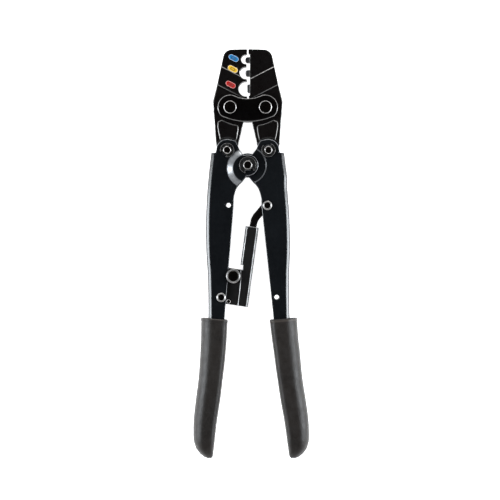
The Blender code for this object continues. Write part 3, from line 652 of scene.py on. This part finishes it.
def sheet_metal(name, skin, faces, painted_sheen, body, node, steps=3):
    """A closed, painted sheet from its outer skin, with rounded borders."""
    skin = np.asarray(skin, float)
    normals = np.zeros_like(skin)
    for face in faces:
        corners = skin[list(face)]
        normal = np.cross(corners[1] - corners[0], corners[2] - corners[0])
        if len(face) == 4:
            normal += np.cross(corners[2] - corners[0], corners[3] - corners[0])
        normal /= max(np.linalg.norm(normal), 1e-12)
        for k, i in enumerate(face):
            a, b = directions(corners[[k - 1, (k + 1) % len(face)]] - corners[k])
            normals[i] += normal * np.arccos(np.clip(a @ b, -1, 1))
    normals = directions(normals)
    count = len(skin)
    outer, inner = skin.copy(), skin - SHEET * normals
    solid = both_sides(faces, count)
    extra = []
    # The dishes' painted reflection, then wear along the borders
    worn_and_sheen = list(painted_sheen) + [0.0] * count
    for border in borders(faces):
        row, normal = skin[border], normals[border]
        for i in border:
            worn_and_sheen[i] = 0.0
        run = directions(np.roll(row, -1, axis=0) - np.roll(row, 1, axis=0))
        outward = directions(np.cross(run, normal))
        outer[border] = row - HANDLE_EDGE * outward
        inner[border] = outer[border] - SHEET * normal
        rings = [border]
        for side, angle, wear_and_sheen in rounding(steps):
            first = 2 * count + len(extra)
            rings.append(range(first, first + len(border)))
            depth = HANDLE_EDGE * (1 - cos(angle))
            depth = depth if side == 1 else SHEET - depth
            extra += (row - HANDLE_EDGE * (1 - sin(angle)) * outward - depth * normal).tolist()
            worn_and_sheen += [wear_and_sheen * ear_share(p[1]) for p in row]
        rings.append([i + count for i in border])
        solid += stitched(rings)
    verts = np.vstack([outer, inner, np.array(extra)])
    return piece(name, verts, solid, BLACK_STEEL, body, "black_steel", (node,), worn_and_sheen=worn_and_sheen)


def handle(name, node, shape, lobe_radius, dish, rings, dish_top, holes, dish_sheen, body):
    """A pressed channel handle: two cheeks with dished ears, joined by a rounded web."""
    web, rim = (shape(line) for line in cheek_outline(lobe_radius))
    flip = shape is splayed
    loop = web[::-1] + [p for p in spaced(rim, 0.25) if p not in web]
    loops = wound([loop] + [circle((x, y), r, 40) for x, y, r in holes])
    inner, outer = rings

    def away(x, y):
        return dist((x, y), dish)
    points = [p for k in range(-1, 9)
              for p in circle(dish, inner + (outer - inner) * k / 7, DISH_STEPS)]
    points += [(x, y) for x in np.arange(-34, 34, GRID) for y in np.arange(-184, 18, GRID)
               if away(x, y) > outer + 1.5]
    flat, faces = filled(loops, (), points)
    count = len(flat)
    levels = [CHEEK_TOP + (dish_top - CHEEK_TOP) * eased((outer - away(*p)) / (outer - inner))
              for p in flat]
    skin = [(x, y, side * z) for side in (1, -1) for (x, y), z in zip(flat, levels)]
    skin_faces = both_sides(faces, count)
    seam = [int(np.hypot(*(flat - np.array(point)).T).argmin()) for point in web]
    rows = [seam]
    turns = [radians(90 * k / BEND_STEPS) for k in range(1, BEND_STEPS + 1)]
    bend = [(BEND * sin(t), CHEEK_TOP - BEND + BEND * cos(t)) for t in turns]
    for reach, z in bend + [(r, -z) for r, z in bend[::-1]]:
        rows.append(range(len(skin), len(skin) + len(web)))
        skin += [(x + (reach if flip else -reach), y, z) for x, y in web]
    rows.append([i + count for i in seam])
    skin_faces += [quad[::-1] if flip else quad for quad in stitched(rows, closed=False)]
    # The dish's slope on the front is painted lighter as a reflection of the lamps
    painted_sheen = [dish_sheen if inner + 0.1 < away(x, y) < outer - 0.1 and z > 0 else 0.0 for x, y, z in skin]
    return sheet_metal(name, skin, skin_faces, painted_sheen, body, node)


PIVOT_HOLE, PIN_HOLE, RIVET_HOLE, SPARE_HOLE = 3.4, 3.2, 2, 1.5
SPARE_LEFT = (-12.7, -26.3)
SPARE_RIGHT = (19.1, -87)
# The number before each body sets how strongly its dish's slope is painted as a reflection
handle("left_channel", "handle_left", as_drawn, 6.95, (-0.7, -2), (8.8, 13.3), EAR_TOP,
       [(*PIVOT_C, PIVOT_HOLE), (*B_LEFT, PIN_HOLE), (*SPARE_LEFT, SPARE_HOLE),
        (*HOUSING_RIVET, RIVET_HOLE)], 0.7, "left_handle")
handle("right_channel", "handle_right", splayed, 8, PIVOT_C, (11.7, 12.5), INNER_EAR_TOP,
       [(*PIVOT_C, PIVOT_HOLE), (*B_RIGHT, PIN_HOLE), (*SPARE_RIGHT, SPARE_HOLE),
        (*BAR_RIVET, RIVET_HOLE)], 0.3, "right_handle")


# ---------- grips

GRIP_SIDES = 72
SEAM = 0.12
SQUARE = 3.3
LIP_LEAN = 0.083
RIGHT_WIDER = 0.6
# The left grip from its mouth down: y, outer side, inner side, half thickness
GRIP_ROWS = [
    (-101.5, -30.75, -13.5, 11), (-116, -30.9, -14.1, 11), (-129, -31.6, -15.2, 11),
    (-142, -32.6, -16.7, 11), (-155, -34.3, -18.3, 11), (-168, -35.7, -20.3, 11),
    (-178, -35.9, -21.5, 11), (-183, -35.5, -22, 10.9), (-187, -34.3, -22.4, 10.2),
    (-190.3, -31.8, -22.7, 8.8), (-192.5, -29.2, -23.1, 7), (-193.3, -27.2, -23.9, 5.8)]
# The rolled lip and the groove below it: y, how far it stands out, squareness
LIP_ROWS = [
    (-101.9, -2.3, 5), (-101.35, -1.5, 4.2), (-101.25, -0.8, 3.6), (-101.3, -0.3, 3.4),
    (-101.6, 0.1, SQUARE), (-102.2, 0.24, SQUARE), (-102.9, 0.2, SQUARE), (-103.4, 0.02, SQUARE),
    (-103.9, -0.05, SQUARE), (-104.8, 0, SQUARE), (-106.4, 0, SQUARE)]


def ring_at(shape, y, outer, inner, half_z, squareness, seam=0, lean=0):
    """One rounded oblong ring of a grip, with a faint moulding seam on its two sides."""
    right = shape is splayed
    (outer, _), (inner, _) = shape([(outer, y), (inner + (RIGHT_WIDER if right else 0), y)])
    mid, half_x = (outer + inner) / 2, abs(inner - outer) / 2
    ring = []
    for k in range(GRIP_SIDES):
        angle = 2 * pi * k / GRIP_SIDES
        c, s = cos(angle), sin(angle)
        power = 2 / (0.3 * squareness + 1.4 if (c > 0) == right else 2.0 * squareness - 1)
        x = half_x * copysign(abs(c) ** power, c)
        if abs(s) < 0.02:
            x *= 1 + seam / half_x
        ring.append((mid + x, y + (lean if right else -lean) * x,
                     half_z * copysign(abs(s) ** power, s)))
    return ring


def value_at(y, rows, column, y_column):
    """The value in one column of the rows at the height y."""
    pairs = sorted((row[y_column], row[column]) for row in rows)
    return float(np.interp(y, *zip(*pairs)))


def grip(name, shape, body, node):
    """A soft sleeve with a rolled lip, a groove below it and a closed, slanting end."""
    def row_at(y, grow=0):
        outer, inner, half_z = (value_at(y, GRIP_ROWS, i, 0) for i in (1, 2, 3))
        return y, outer - grow, inner + grow, half_z + min(grow, 0)
    rings = []
    for y, spare in ((-118, 0.3), (-106, 0.3), (-102.6, 0.55)):
        rings.append(ring_at(shape, y, value_at(y, WEB_SIDE, 0, 1) - spare,
                             value_at(y, OPEN_SIDE, 0, 1) + spare, CHEEK_TOP + spare, 9))
    for y, grow, square in LIP_ROWS:
        rings.append(ring_at(shape, *row_at(y, grow), square, SEAM if grow > -0.6 else 0,
                             LIP_LEAN))
    rings.append(ring_at(shape, *row_at(-111), SQUARE, SEAM))
    lines = [flowing([(row[0], row[i]) for row in GRIP_ROWS[1:]], 3) for i in (1, 2, 3)]
    for (y, outer), (_, inner), (_, half_z) in zip(*lines):
        rings.append(ring_at(shape, y, outer, inner, half_z,
                             *((SQUARE, SEAM) if y > -186 else (2.9, 0))))
    verts = [p for ring in rings for p in ring]
    firsts = range(0, len(verts), GRIP_SIDES)
    faces = stitched([range(first, first + GRIP_SIDES)[::-1] for first in firsts])
    faces += [range(GRIP_SIDES)[::-1], range(firsts[-1], len(verts))]
    # The rolled lip is marked to be painted lighter: partly rubbed, partly a painted highlight
    worn_and_sheen = [1.0 if -102.4 < ring[0][1] < -101.4 else 0.0 for ring in rings for _ in ring]
    return piece(name, verts, faces, GRIP_RUBBER, body, "grip_rubber", (node,), 60,
                 weighted=False, worn_and_sheen=worn_and_sheen)


grip("left_sleeve", as_drawn, "left_handle", "grip_left")
grip("right_sleeve", splayed, "right_handle", "grip_right")


# ---------- jaws

TOP_Y = 76.7
SLOPE = -0.515
TIP_LEVEL = JAW_FACE - 0.4
WAIST_LEVEL = JAW_FACE - 1.0
TONGUE_LEVEL = JAW_FACE - 1.6
# A step in a face, across it from its high side: its lines, and the middles between them
BAND = (-0.4, -0.28, 0.12, 0.28)
BETWEEN = (-0.34, -0.08, 0.2)
CHAMFER_DROP = 0.28
TONGUE_R = 7.1
SHOULDER_R = 8.1
TIP_Y = 57.4
LINK_Y = 44.1


def step_drop(across, drop):
    """How far a face has sunk at a place across a chamfered step."""
    if across < BETWEEN[1]:
        return 0.0
    return min(CHAMFER_DROP, drop) if across < BETWEEN[2] else drop


def sunk(steps):
    """How far a face has sunk where it lies across several steps."""
    return max(step_drop(across, drop) for across, drop in steps)


# Full inside a step's chamfer band: bare metal there, and a painted highlight on the chamfer
def step_wear_and_sheen(across):
    return 1.0 if BETWEEN[0] < across < BETWEEN[2] else 0.0


NESTS = [(-1, 50.4, 4.95), (-1.2, 60.9, 4), (-1.2, 69.9, 3.05)]
JAW_BACK = ([(-15.2, TOP_Y - 0.2, 6), (-23.4, 41.3, 8)] + arc(B_LEFT, TONGUE_R, 180, 355, 40)
            + [(-6.3, 13, 2), (-2.9, 27.6, 8), (-0.4, 38.3, 2)])


def nest_side():
    """The left jaw's biting edge from the bottom up: three round nests between noses."""
    edge = [(-0.4, 45.1)]
    mouth = degrees(atan2(1, 0.16))
    for x, y, radius in NESTS:
        edge += arc((x, y), radius, 357.5 - mouth, mouth + 2.5, 44)
    return edge + [(-0.4, 73.6), (-0.4, TOP_Y, 0.4)]


# The other jaw's biting edge, drawn as if it were on the left
ANVIL_SIDE = [
    (-0.7, 44.4, 0.3), (-0.7, 45.6), (-1.4, 46.2), (-1.4, 73.2), (-0.4, 73.8), (-0.4, TOP_Y, 0.4)]


def slant(x, level):
    return (x, level + SLOPE * (x + 2.3))


def widened(loop, reach):
    """A closed loop moved to its left."""
    return offset(loop, [reach] * len(loop))


PANEL = rounded([(-18, 16.4, 0.8), (-18.8, 19.5, 8), (-19.9, 25.6, 6), (-19.7, 28.7, 1.2),
                 (-17.1, 29.8, 1.4), (-12.9, 27.9, 4), (-9.5, 26.8, 4), (-6.2, 26.2, 1.4),
                 (-6.4, 22.5, 2), (-7.6, 16.4, 1.4)])
PANEL = wound([spaced(PANEL + arc(B_LEFT, SHOULDER_R - 0.8, 50, 124, 12), 0.3)])[0]


def jaw(name, shape, edge_line, bore, node, body):
    """A jaw with a low tip, a raised panel above its tongue and sunk ground round it."""
    side = -1 if shape is mirrored else 1
    rooms = [widened(PANEL, -shift) for shift in BETWEEN]
    shoulder = SHOULDER_R + BAND[-1]

    def steps_at(x, y):
        """How far across each step of the jaw's face a place is, and how deep the step goes."""
        x *= side
        rise = y - SLOPE * (x + 2.3)
        held = sum(bool(inside([(x, y)], [room])[0]) for room in rooms)
        panel_at = (-1, -0.2, 0, 1)[3 - held]
        low = y < 43.0 or (x > -4.6 and y < 45.3) or rise < LINK_Y + 1
        yield rise - TIP_Y, JAW_FACE - TIP_LEVEL
        yield (min(LINK_Y - rise, panel_at) if low else -1), JAW_FACE - WAIST_LEVEL
        yield shoulder - dist((x, y), B_LEFT), JAW_FACE - TONGUE_LEVEL

    def level(x, y):
        return JAW_FACE - sunk(steps_at(x, y))

    def marks(x, y):
        """Bare metal and a painted highlight along the steps in the jaw's face."""
        tip, panel_side, tongue = (step_wear_and_sheen(across) for across, _ in steps_at(x, y))
        return max(0.8 * tip, 0.5 * panel_side, 0.1 * tongue)

    def edge(x, y):
        """Rounder along the back of the waist and sharper on the nose."""
        x *= side
        back = unit((-11.0 - x) / 3) * unit((y - 12) / 4) * unit((54.0 - y) / 11)
        nose = unit((x + 3) / 2) * unit((y - 43) / 2)
        return 0.38 + 0.5 * back - 0.3 * nose
    slants = [TIP_Y + shift for shift in BAND] + [LINK_Y - shift for shift in BAND]
    lines = [[slant(-30, at), slant(3, at)] for at in slants]
    rings = [widened(PANEL, -shift) for shift in BAND]
    rings += [circle(B_LEFT, shoulder - shift, 96) for shift in BAND]
    lines += [ring + ring[:1] for ring in rings]
    loops = [rounded(JAW_BACK + edge_line, 6), circle(A_LEFT, PIN_HOLE), circle(B_LEFT, bore)]
    return slab(name, [shape(loop) for loop in loops], level, lambda x, y: -level(x, y), edge,
                BLACK_OXIDE, body, "black_oxide", (node,), [shape(line) for line in lines],
                steps=5, marks=marks)


jaw("nest_jaw", as_drawn, nest_side(), 3.2, "jaw_left", "left_jaw")
anvil = jaw("anvil_jaw", mirrored, ANVIL_SIDE, 3.45, "jaw_right", "right_jaw")
slot_room = [(0, 46.8), (6.3, 46.8), (6.3, 73.1), (0, 73.1)]
carve(anvil, slab("slot_room", [slot_room], DIE_HALF + 0.3, -DIE_HALF - 0.3, 0.05, BLACK_OXIDE,
                  "right_jaw", "black_oxide"))

DIE_OUTLINE = [
    (6, 47.1), (6, 72.8), (2, 72.8), (2, 71.7), (-1.65, 71.7, 1.9), (-1.65, 67.6, 1.9), (2, 67.6),
    (2, 63.1), (-1.5, 63.1, 2), (-1.5, 58.7, 2), (2, 58.7), (2, 53.6), (-0.4, 53.6, 1.8),
    (-0.4, 47.9, 1.8), (2, 47.9), (2, 47.1)]
slab("die_bar", [rounded(DIE_OUTLINE)], DIE_HALF, -DIE_HALF, 0.4, DIE_STEEL, "right_jaw",
     "bright_steel", ("indenter_die",))


# ---------- colour marks

MARK_TILT = radians(-27)
MARK_REACH = 1.75
MARK_LOWER = 0.45
RIM_OUTER, RIM_INNER = 1.75, 1.4


def stadium(x, y, half, reach=MARK_REACH):
    points = arc((reach, 0), half, -90, 90, 14) + arc((-reach, 0), half, 90, 270, 14)
    c, s = cos(MARK_TILT), sin(MARK_TILT)
    return [(x + u * c - v * s, y + u * s + v * c) for u, v in points]


for colour, (rim_dark, rim_light, dark, light) in MARKS.items():
    mark, slot = "mark_" + colour, colour + "_enamel"
    x, y = middle(mark)
    y -= MARK_LOWER
    face = top(mark)
    slab(mark + "_rim", [stadium(x, y, RIM_OUTER), stadium(x, y, RIM_INNER)], face, face - 0.55,
         0.1, enamel(colour + "_rim", rim_dark, rim_light), "left_jaw", slot, (mark,))
    slab(mark + "_fill", [stadium(x, y, RIM_INNER)], face - 0.06, face - 0.55, 0.12,
         enamel(slot, dark, light), "left_jaw", slot)
    slab(mark + "_ring", [stadium(x, y, 0.78, 0.95), stadium(x, y, 0.42, 0.95)], face + 0.02,
         face - 0.3, 0.04, MARK_LINE, "left_jaw", slot)


# ---------- links and pins

def link_outline():
    """Two round lobes joined by a dipped top edge and a bowed bottom edge."""
    left = arc(A_LEFT, 8.2, 70, 226, 40)
    bowed = [(x, 28.65 + x * x / 82) for x in (-12.5, -8, -4, 0)]
    bottom = flowing([left[-1]] + bowed, 0.8)[1:]
    dip = flowing([(0, 44), (-3, 44.2), (-6, 44.85), left[0]], 0.8)[:-1]
    half = dip + left + bottom
    return half + mirrored(half)[::-1][1:-1]


def two_ended(half):
    """A profile from the middle plane up, and the same below it."""
    return half + [(r, -z, *corner) for r, z, *corner in half[::-1]]


for side, low, high in (("front", LINK_LOW, LINK_TOP), ("rear", -LINK_TOP, -LINK_LOW)):
    slab("link_" + side,
         [link_outline(), circle(A_LEFT, PIN_HOLE), circle(A_RIGHT, PIN_HOLE)], high, low, 0.5,
         LINK_STEEL, "links", "black_oxide", ("link_plate_" + side,))

head = LINK_TOP + 0.25
for side, centre in (("left", A_LEFT), ("right", A_RIGHT)):
    turned("link_stud_" + side,
           two_ended([(0, head + 1.45), (3, head + 1.5, 0.15), (3.8, head + 1.5, 0.15),
                      (4.4, head + 0.8, 0.15), (4.4, head, 0.1), (3, head)]),
           centre, DARK_PIN, "links", ("link_pin_" + side,))
    turned("link_stud_ring_" + side,
           [(3.88, head + 1.54, 0.05), (4.2, head + 1.18, 0.05), (3.95, head + 0.95),
            (3.6, head + 1.25)], centre, RING_STEEL, "links", closed=True)


def clip_pin(name, centre, radius, seat, end, head_r, foot_z, ring, body, node):
    """A headed pin from the rear with a grooved nose and a bright machined ring on its end."""
    groove = radius - 0.7
    low, high = ring
    profile = [(0, end - 0.3), (low - 0.15, end - 0.3, 0.1), (low, end - 0.05, 0.1),
               (radius - 0.1, end - 0.1, 0.25), (radius - 0.05, end - 0.7, 0.15),
               (radius - 0.05, seat + 1.45), (groove, seat + 1.45), (groove, seat + 0.2),
               (radius, seat + 0.2), (radius, -seat - 0.25), (head_r, -seat - 0.25, 0.15),
               (head_r, foot_z + 0.5, 0.3), (head_r - 0.5, foot_z, 0.3), (0, foot_z)]
    turned(name, profile, centre, DARK_PIN, body, (node,))
    ridge = (low + high) / 2
    crown = [(low, end - 0.26), (high, end - 0.26), (ridge + 0.04, end, 0.1),
             (ridge - 0.04, end, 0.1)]
    turned(name + "_ring", crown, centre, RING_STEEL, body, closed=True)


def e_clip(name, centre, radius, outer, seat, opening, body, node):
    """An open spring clip with three inner lugs, its mouth turned to the opening angle."""
    groove = radius - 0.5
    half = 32
    rim = arc(centre, outer, opening + half, opening + 360 - half, 70)
    inner = []
    for start, end, relief in ((-55, -100, 0), (-110, -150, 0.9), (-160, -200, 0),
                               (-210, -250, 0.9), (-260, -305, 0)):
        inner += arc(centre, groove + relief, opening + start, opening + end, 10)
    low = seat + 0.3
    slab(name, [rim + inner], low + 0.95, low, 0.2, CLIP_STEEL, body, "black_oxide", (node,))


JAW_PINS = (("left", B_LEFT, 225), ("right", B_RIGHT, 100))
for side, centre, _ in JAW_PINS:
    clip_pin("jaw_pin_" + side, centre, 3, CHEEK_TOP, 9.2, 4.6, -9, (1.85, 2.75),
             side + "_handle", "handle_pin_" + side)
clip_pin("main_pin", PIVOT_C, 3.2, EAR_TOP, top("center_pin"), 5.6, foot("center_pin"),
         (2.3, 3.05), "left_handle", "center_pin")
for side, centre, opening in JAW_PINS:
    e_clip("jaw_clip_" + side, centre, 3, 4.6, CHEEK_TOP, opening, side + "_handle",
           "clip_" + side)
e_clip("main_clip", PIVOT_C, 3.2, 5.6, EAR_TOP, 285, "left_handle", "clip_center")


def eyelet(name, centre, body, node):
    """A rivet with a dished head on each cheek: a bright rolled rim round a dark disc, the hollow's
    painted shade.
    """
    seat = CHEEK_TOP + 0.25
    face = seat + 1.0
    upper = [(0, face - 0.55), (1.9, face - 0.55, 0.1), (2.3, face, 0.15), (2.5, face, 0.15),
             (3.1, face - 0.55, 0.2), (3.1, seat, 0.1), (1.8, seat)]
    turned(name, two_ended(upper), centre, PIN_STEEL, body, (node,))
    # A dark disc in the dish paints the hollow's shade
    shade_disc = [(0, face - 0.38), (1.9, face - 0.38, 0.1), (2, face - 0.7), (0, face - 0.7)]
    turned(name + "_hollow", shade_disc, centre, DARK_PIN, body)


eyelet("bar_eyelet", BAR_RIVET, "right_handle", "bar_rivet")
eyelet("housing_eyelet", HOUSING_RIVET, "left_handle", "housing_rivet")


# ---------- ratchet

LEAN = radians(7.6)
CHANNEL = (2.9, -40.5)
BAR_WIDTH = 4.0
BAR_END = 48.6
TEETH = 12
TOOTH_START = 20.0
TOOTH_PITCH = 2.2
TOOTH_DEPTH = 0.9


def along(u, v):
    """A point u down the ratchet's sliding axis and v to its right."""
    return (CHANNEL[0] - u * sin(LEAN) + v * cos(LEAN),
            CHANNEL[1] - u * cos(LEAN) - v * sin(LEAN))


def bar_outline():
    """The toothed bar: an eye on its rivet, a bent neck and a straight rack."""
    half = BAR_WIDTH / 2
    eye = arc(BAR_RIVET, 3.5, 130, -60, 30)
    right = [(10.3, -32.6), (8.2, -34.9, 3), (6.7, -37, 6), (5.9, -40.4, 1), (*along(2.6, half), 1)]
    left = [(*along(2.6, -half), 1), (1.2, -39.6, 2), (2, -35.3, 6), (3.7, -32.2, 6),
            (6.3, -29.2, 6)]
    rack = [(*along(BAR_END, half), 0.6), (*along(BAR_END, -half), 0.6)]
    for i in reversed(range(TEETH)):
        u = TOOTH_START + i * TOOTH_PITCH
        rack.append((*along(u + TOOTH_PITCH, -half), 0.12))
        rack.append((*along(u + 0.25 * TOOTH_PITCH, -half + TOOTH_DEPTH), 0.15))
    rack.append(along(TOOTH_START, -half))
    return rounded(eye + right + rack + left)


def bar_edge(x, y):
    """Rounded edges on the neck and nearly sharp ones on the teeth."""
    return 0.08 if y < -58.0 else 0.35


slab("rack_bar", [bar_outline(), circle(BAR_RIVET, RIVET_HOLE)], BAR_HALF, -BAR_HALF, bar_edge,
     BLACK_OXIDE, "bar", "black_oxide", ("ratchet_bar",))

HOUSING_EDGE = [
    (-1.5, -39.9, 0.6), (7.3, -41.2, 0.6), (0.2, -93.8, 0.6), (-18.2, -91, 4), (-22, -86.6, 4),
    (-19.6, -66.4, 1.5), (-3.4, -68.9), (-3.2, -66), (-4.9, -65.6)]
HOUSING_INSIDE = [
    (0.2, -36), (6.8, -36), (-0.8, -92.4), (-17.6, -89.7, 3), (-20.8, -86.4, 3), (-18.4, -67.95),
    (-4.35, -70.4)]
POCKET_LINE = [(-4.6, -60), (-4.6, -76.3), (-7.4, -100)]
LIP = 1.15
LIP_DROP = 0.45
POCKET_DROP = 0.5


def tray_edge(x, y):
    """Rounded edges, smaller round the anchor pin's hole, which is close to the tray's end."""
    return 0.1 if dist((x, y), ANCHOR) < 1.45 else 0.42


def right_of(x, y, a, b):
    """How far a point lies to the right of the line from a to b, going down."""
    dx, dy = b[0] - a[0], b[1] - a[1]
    return ((y - a[1]) * dx - (x - a[0]) * dy) / hypot(dx, dy)


LEFT_EDGE = ((-1.5, -39.9), (-4.9, -65.6))
RIGHT_EDGE = ((7.3, -41.2), (0.2, -93.8))
LEFT_END = -66.4


def tray_steps(x, y):
    """How far across each of the tray's steps a place is, and how deep the step goes."""
    a, b, c = POCKET_LINE
    pocket = right_of(x, y, a, b) if y > b[1] else right_of(x, y, b, c)
    beside = y > LEFT_END
    yield right_of(x, y, *RIGHT_EDGE) + LIP, LIP_DROP
    yield (LIP - right_of(x, y, *LEFT_EDGE) if beside else -1.0), LIP_DROP
    yield (-1.0 if beside else -pocket), POCKET_DROP


def housing_level(x, y):
    """The tray's face: folded lips along both long sides and a lower pocket on the left."""
    return HOUSING_FACE - sunk(tray_steps(x, y))


def tray_wear_and_sheen(x, y):
    """Bare metal and painted highlights along the creases, and lips painted lighter: partly rubbed,
    partly a painted highlight.
    """
    lip = any(across > 0.2 for across, drop in tray_steps(x, y) if drop == LIP_DROP)
    return max([step_wear_and_sheen(across) for across, _ in tray_steps(x, y)] + [0.45 * lip])


def shifted(line, reach):
    """A line drawn downwards, as places and directions, moved to its right by reach."""
    moved = []
    for (x, y), (dx, dy) in line:
        length = hypot(dx, dy)
        moved.append((x - dy / length * reach, y + dx / length * reach))
    return moved


RIGHT_RUN = [((14.4, 11.4), (-7.1, -52.6)), ((-6.9, -146.4), (-7.1, -52.6))]
LEFT_RUN = [((0.5, -24.8), (-3.4, -25.7)), (LEFT_EDGE[1], (-3.4, -25.7))]
POCKET_RUN = list(zip(POCKET_LINE, [(0, -1), (-0.06, -1), (-2.8, -23.7)]))
CREASES = [(RIGHT_RUN, -LIP, 1), (LEFT_RUN, LIP, -1), (POCKET_RUN, 0, -1)]
TRAY_LINES = [shifted(run, at + way * shift) for run, at, way in CREASES for shift in BAND]
TRAY_LOOPS = [rounded(HOUSING_EDGE), circle(PAWL_AXIS, 2.2), circle(HOUSING_RIVET, RIVET_HOLE),
              circle(ANCHOR, 1.3)]
tray = slab("ratchet_tray", TRAY_LOOPS, housing_level, HOUSING_BACK, tray_edge, HOUSING_STEEL,
            "housing", "housing_steel", ("ratchet_housing",), TRAY_LINES, marks=tray_wear_and_sheen)
carve(tray, slab("tray_room", [rounded(HOUSING_INSIDE)], 2.9, HOUSING_BACK - 2, 0.2,
                 HOUSING_STEEL, "housing", "housing_steel"))
slab("ratchet_cover", TRAY_LOOPS, COVER_TOP, foot("housing_cover"), tray_edge, HOUSING_STEEL,
     "housing", "housing_steel", ("housing_cover",))

anchor_top = top("spring_anchor_pin")
turned("anchor_pin",
       two_ended([(0, anchor_top), (0.8, anchor_top, 0.1), (1.1, anchor_top - 0.25, 0.1)]),
       ANCHOR, DARK_PIN, "housing", ("spring_anchor_pin",))

knob_low = CHEEK_TOP + 0.3
turned("pawl_knob",
       [(0, knob_low + 1.3), (3.75, knob_low + 1.3, 0.05), (4.2, knob_low + 2, 0.12),
        (4.35, knob_low + 2, 0.12), (4.75, knob_low + 1.4, 0.2), (4.75, knob_low, 0.2),
        (1.95, knob_low), (1.95, -4.4, 0.2), (0, -4.4)],
       PAWL_AXIS, PIN_STEEL, "pawl", ("release_knob",))
turned("pawl_knob_disc",
       [(0, knob_low + 1.62), (3, knob_low + 1.55, 0.3), (3.6, knob_low + 1.2, 0.1),
        (3.2, knob_low + 1.05), (0, knob_low + 1.05)],
       PAWL_AXIS, DARK_PIN, "pawl")

# Inner pieces that stay as the CAD has them
for node, mat in (("pawl", PIN_STEEL), ("pawl_spring", SPRING_STEEL), ("center_spacer", PIN_STEEL),
                  ("bar_spacer_front", PIN_STEEL), ("bar_spacer_rear", PIN_STEEL)):
    slots = frame["nodes"][node].data.materials
    slots.clear()
    slots.append(mat)


# ---------- floor, light and camera

FLOOR_HALF = 2.5
VIEW_CENTRE = (-0.00096, 0.0023)
VIEW_WIDTH = 0.3309
LENS = 200.0
# The sky's brightness from straight down to straight up
SKY_STOPS = [(0, 1), (0.46, 0.95), (0.66, 0.16), (0.8, 0.012), (1, 0.005)]
SKY_STRENGTH = 1.3
STRIP_AT = 1.25
STRIP_TINT = (0.9, 0.95, 1)


def soft_box(name, place, width, length, watts, tint=(1, 1, 1)):
    """A lamp that faces the tool's middle."""
    light = bpy.data.lights.new(name, "AREA")
    light.shape = "RECTANGLE"
    light.size = width
    light.size_y = length
    light.energy = watts
    light.color = tint
    obj = placed(name, light)
    obj.location = place
    obj.rotation_euler = (-Vector(place)).to_track_quat("-Z", "Y").to_euler()


def studio():
    """A pale floor, a sky that is bright low down and dark overhead, and two long strips."""
    nodes = Nodes("floor_paint")
    pale = nodes.blend(nodes.noise(6), (0.93, 0.93, 0.93), (0.95, 0.95, 0.95))
    mesh = bpy.data.meshes.new("floor")
    low = foot("center_pin") * MM + ORIGIN.z
    corners = [(-1, -1), (1, -1), (1, 1), (-1, 1)]
    mesh.from_pydata([(x * FLOOR_HALF, y * FLOOR_HALF, low) for x, y in corners], [],
                     [(0, 1, 2, 3)])
    mesh.materials.append(nodes.finish(Base_Color=pale, Roughness=0.9, Emission_Strength=1,
                                       Emission_Color=(1, 1, 1, 1)))
    floor = placed("floor", mesh)

    world = bpy.data.worlds.new("studio")
    bpy.context.scene.world = world
    world.use_nodes = True
    nodes, join = world.node_tree.nodes, world.node_tree.links.new
    direction = nodes.new("ShaderNodeTexCoord")
    split = nodes.new("ShaderNodeSeparateXYZ")
    ramp = nodes.new("ShaderNodeValToRGB")
    join(direction.outputs["Generated"], split.inputs[0])
    join(split.outputs["Z"], ramp.inputs["Fac"])
    join(ramp.outputs["Color"], nodes["Background"].inputs["Color"])
    for i, (place, value) in enumerate(SKY_STOPS):
        stop = ramp.color_ramp.elements[i] if i < 2 else ramp.color_ramp.elements.new(place)
        stop.position = place
        stop.color = (value, value, value, 1)
    nodes["Background"].inputs["Strength"].default_value = SKY_STRENGTH

    for name, x in (("strip_left", -STRIP_AT), ("strip_right", STRIP_AT)):
        soft_box(name, (x, 0, 0.5), 0.34, 1.6, 27, STRIP_TINT)
    soft_box("top_end", (0, 1.2, 0.8), 1, 0.2, 8)

    camera = bpy.data.cameras.new("camera")
    camera.lens = LENS
    camera.clip_end = 50.0
    obj = placed("camera", camera)
    distance = VIEW_WIDTH * LENS / camera.sensor_width
    obj.location = (*VIEW_CENTRE, ORIGIN.z + distance)
    bpy.context.scene.camera = obj
    bpy.context.scene.view_settings.view_transform = "Standard"


studio()
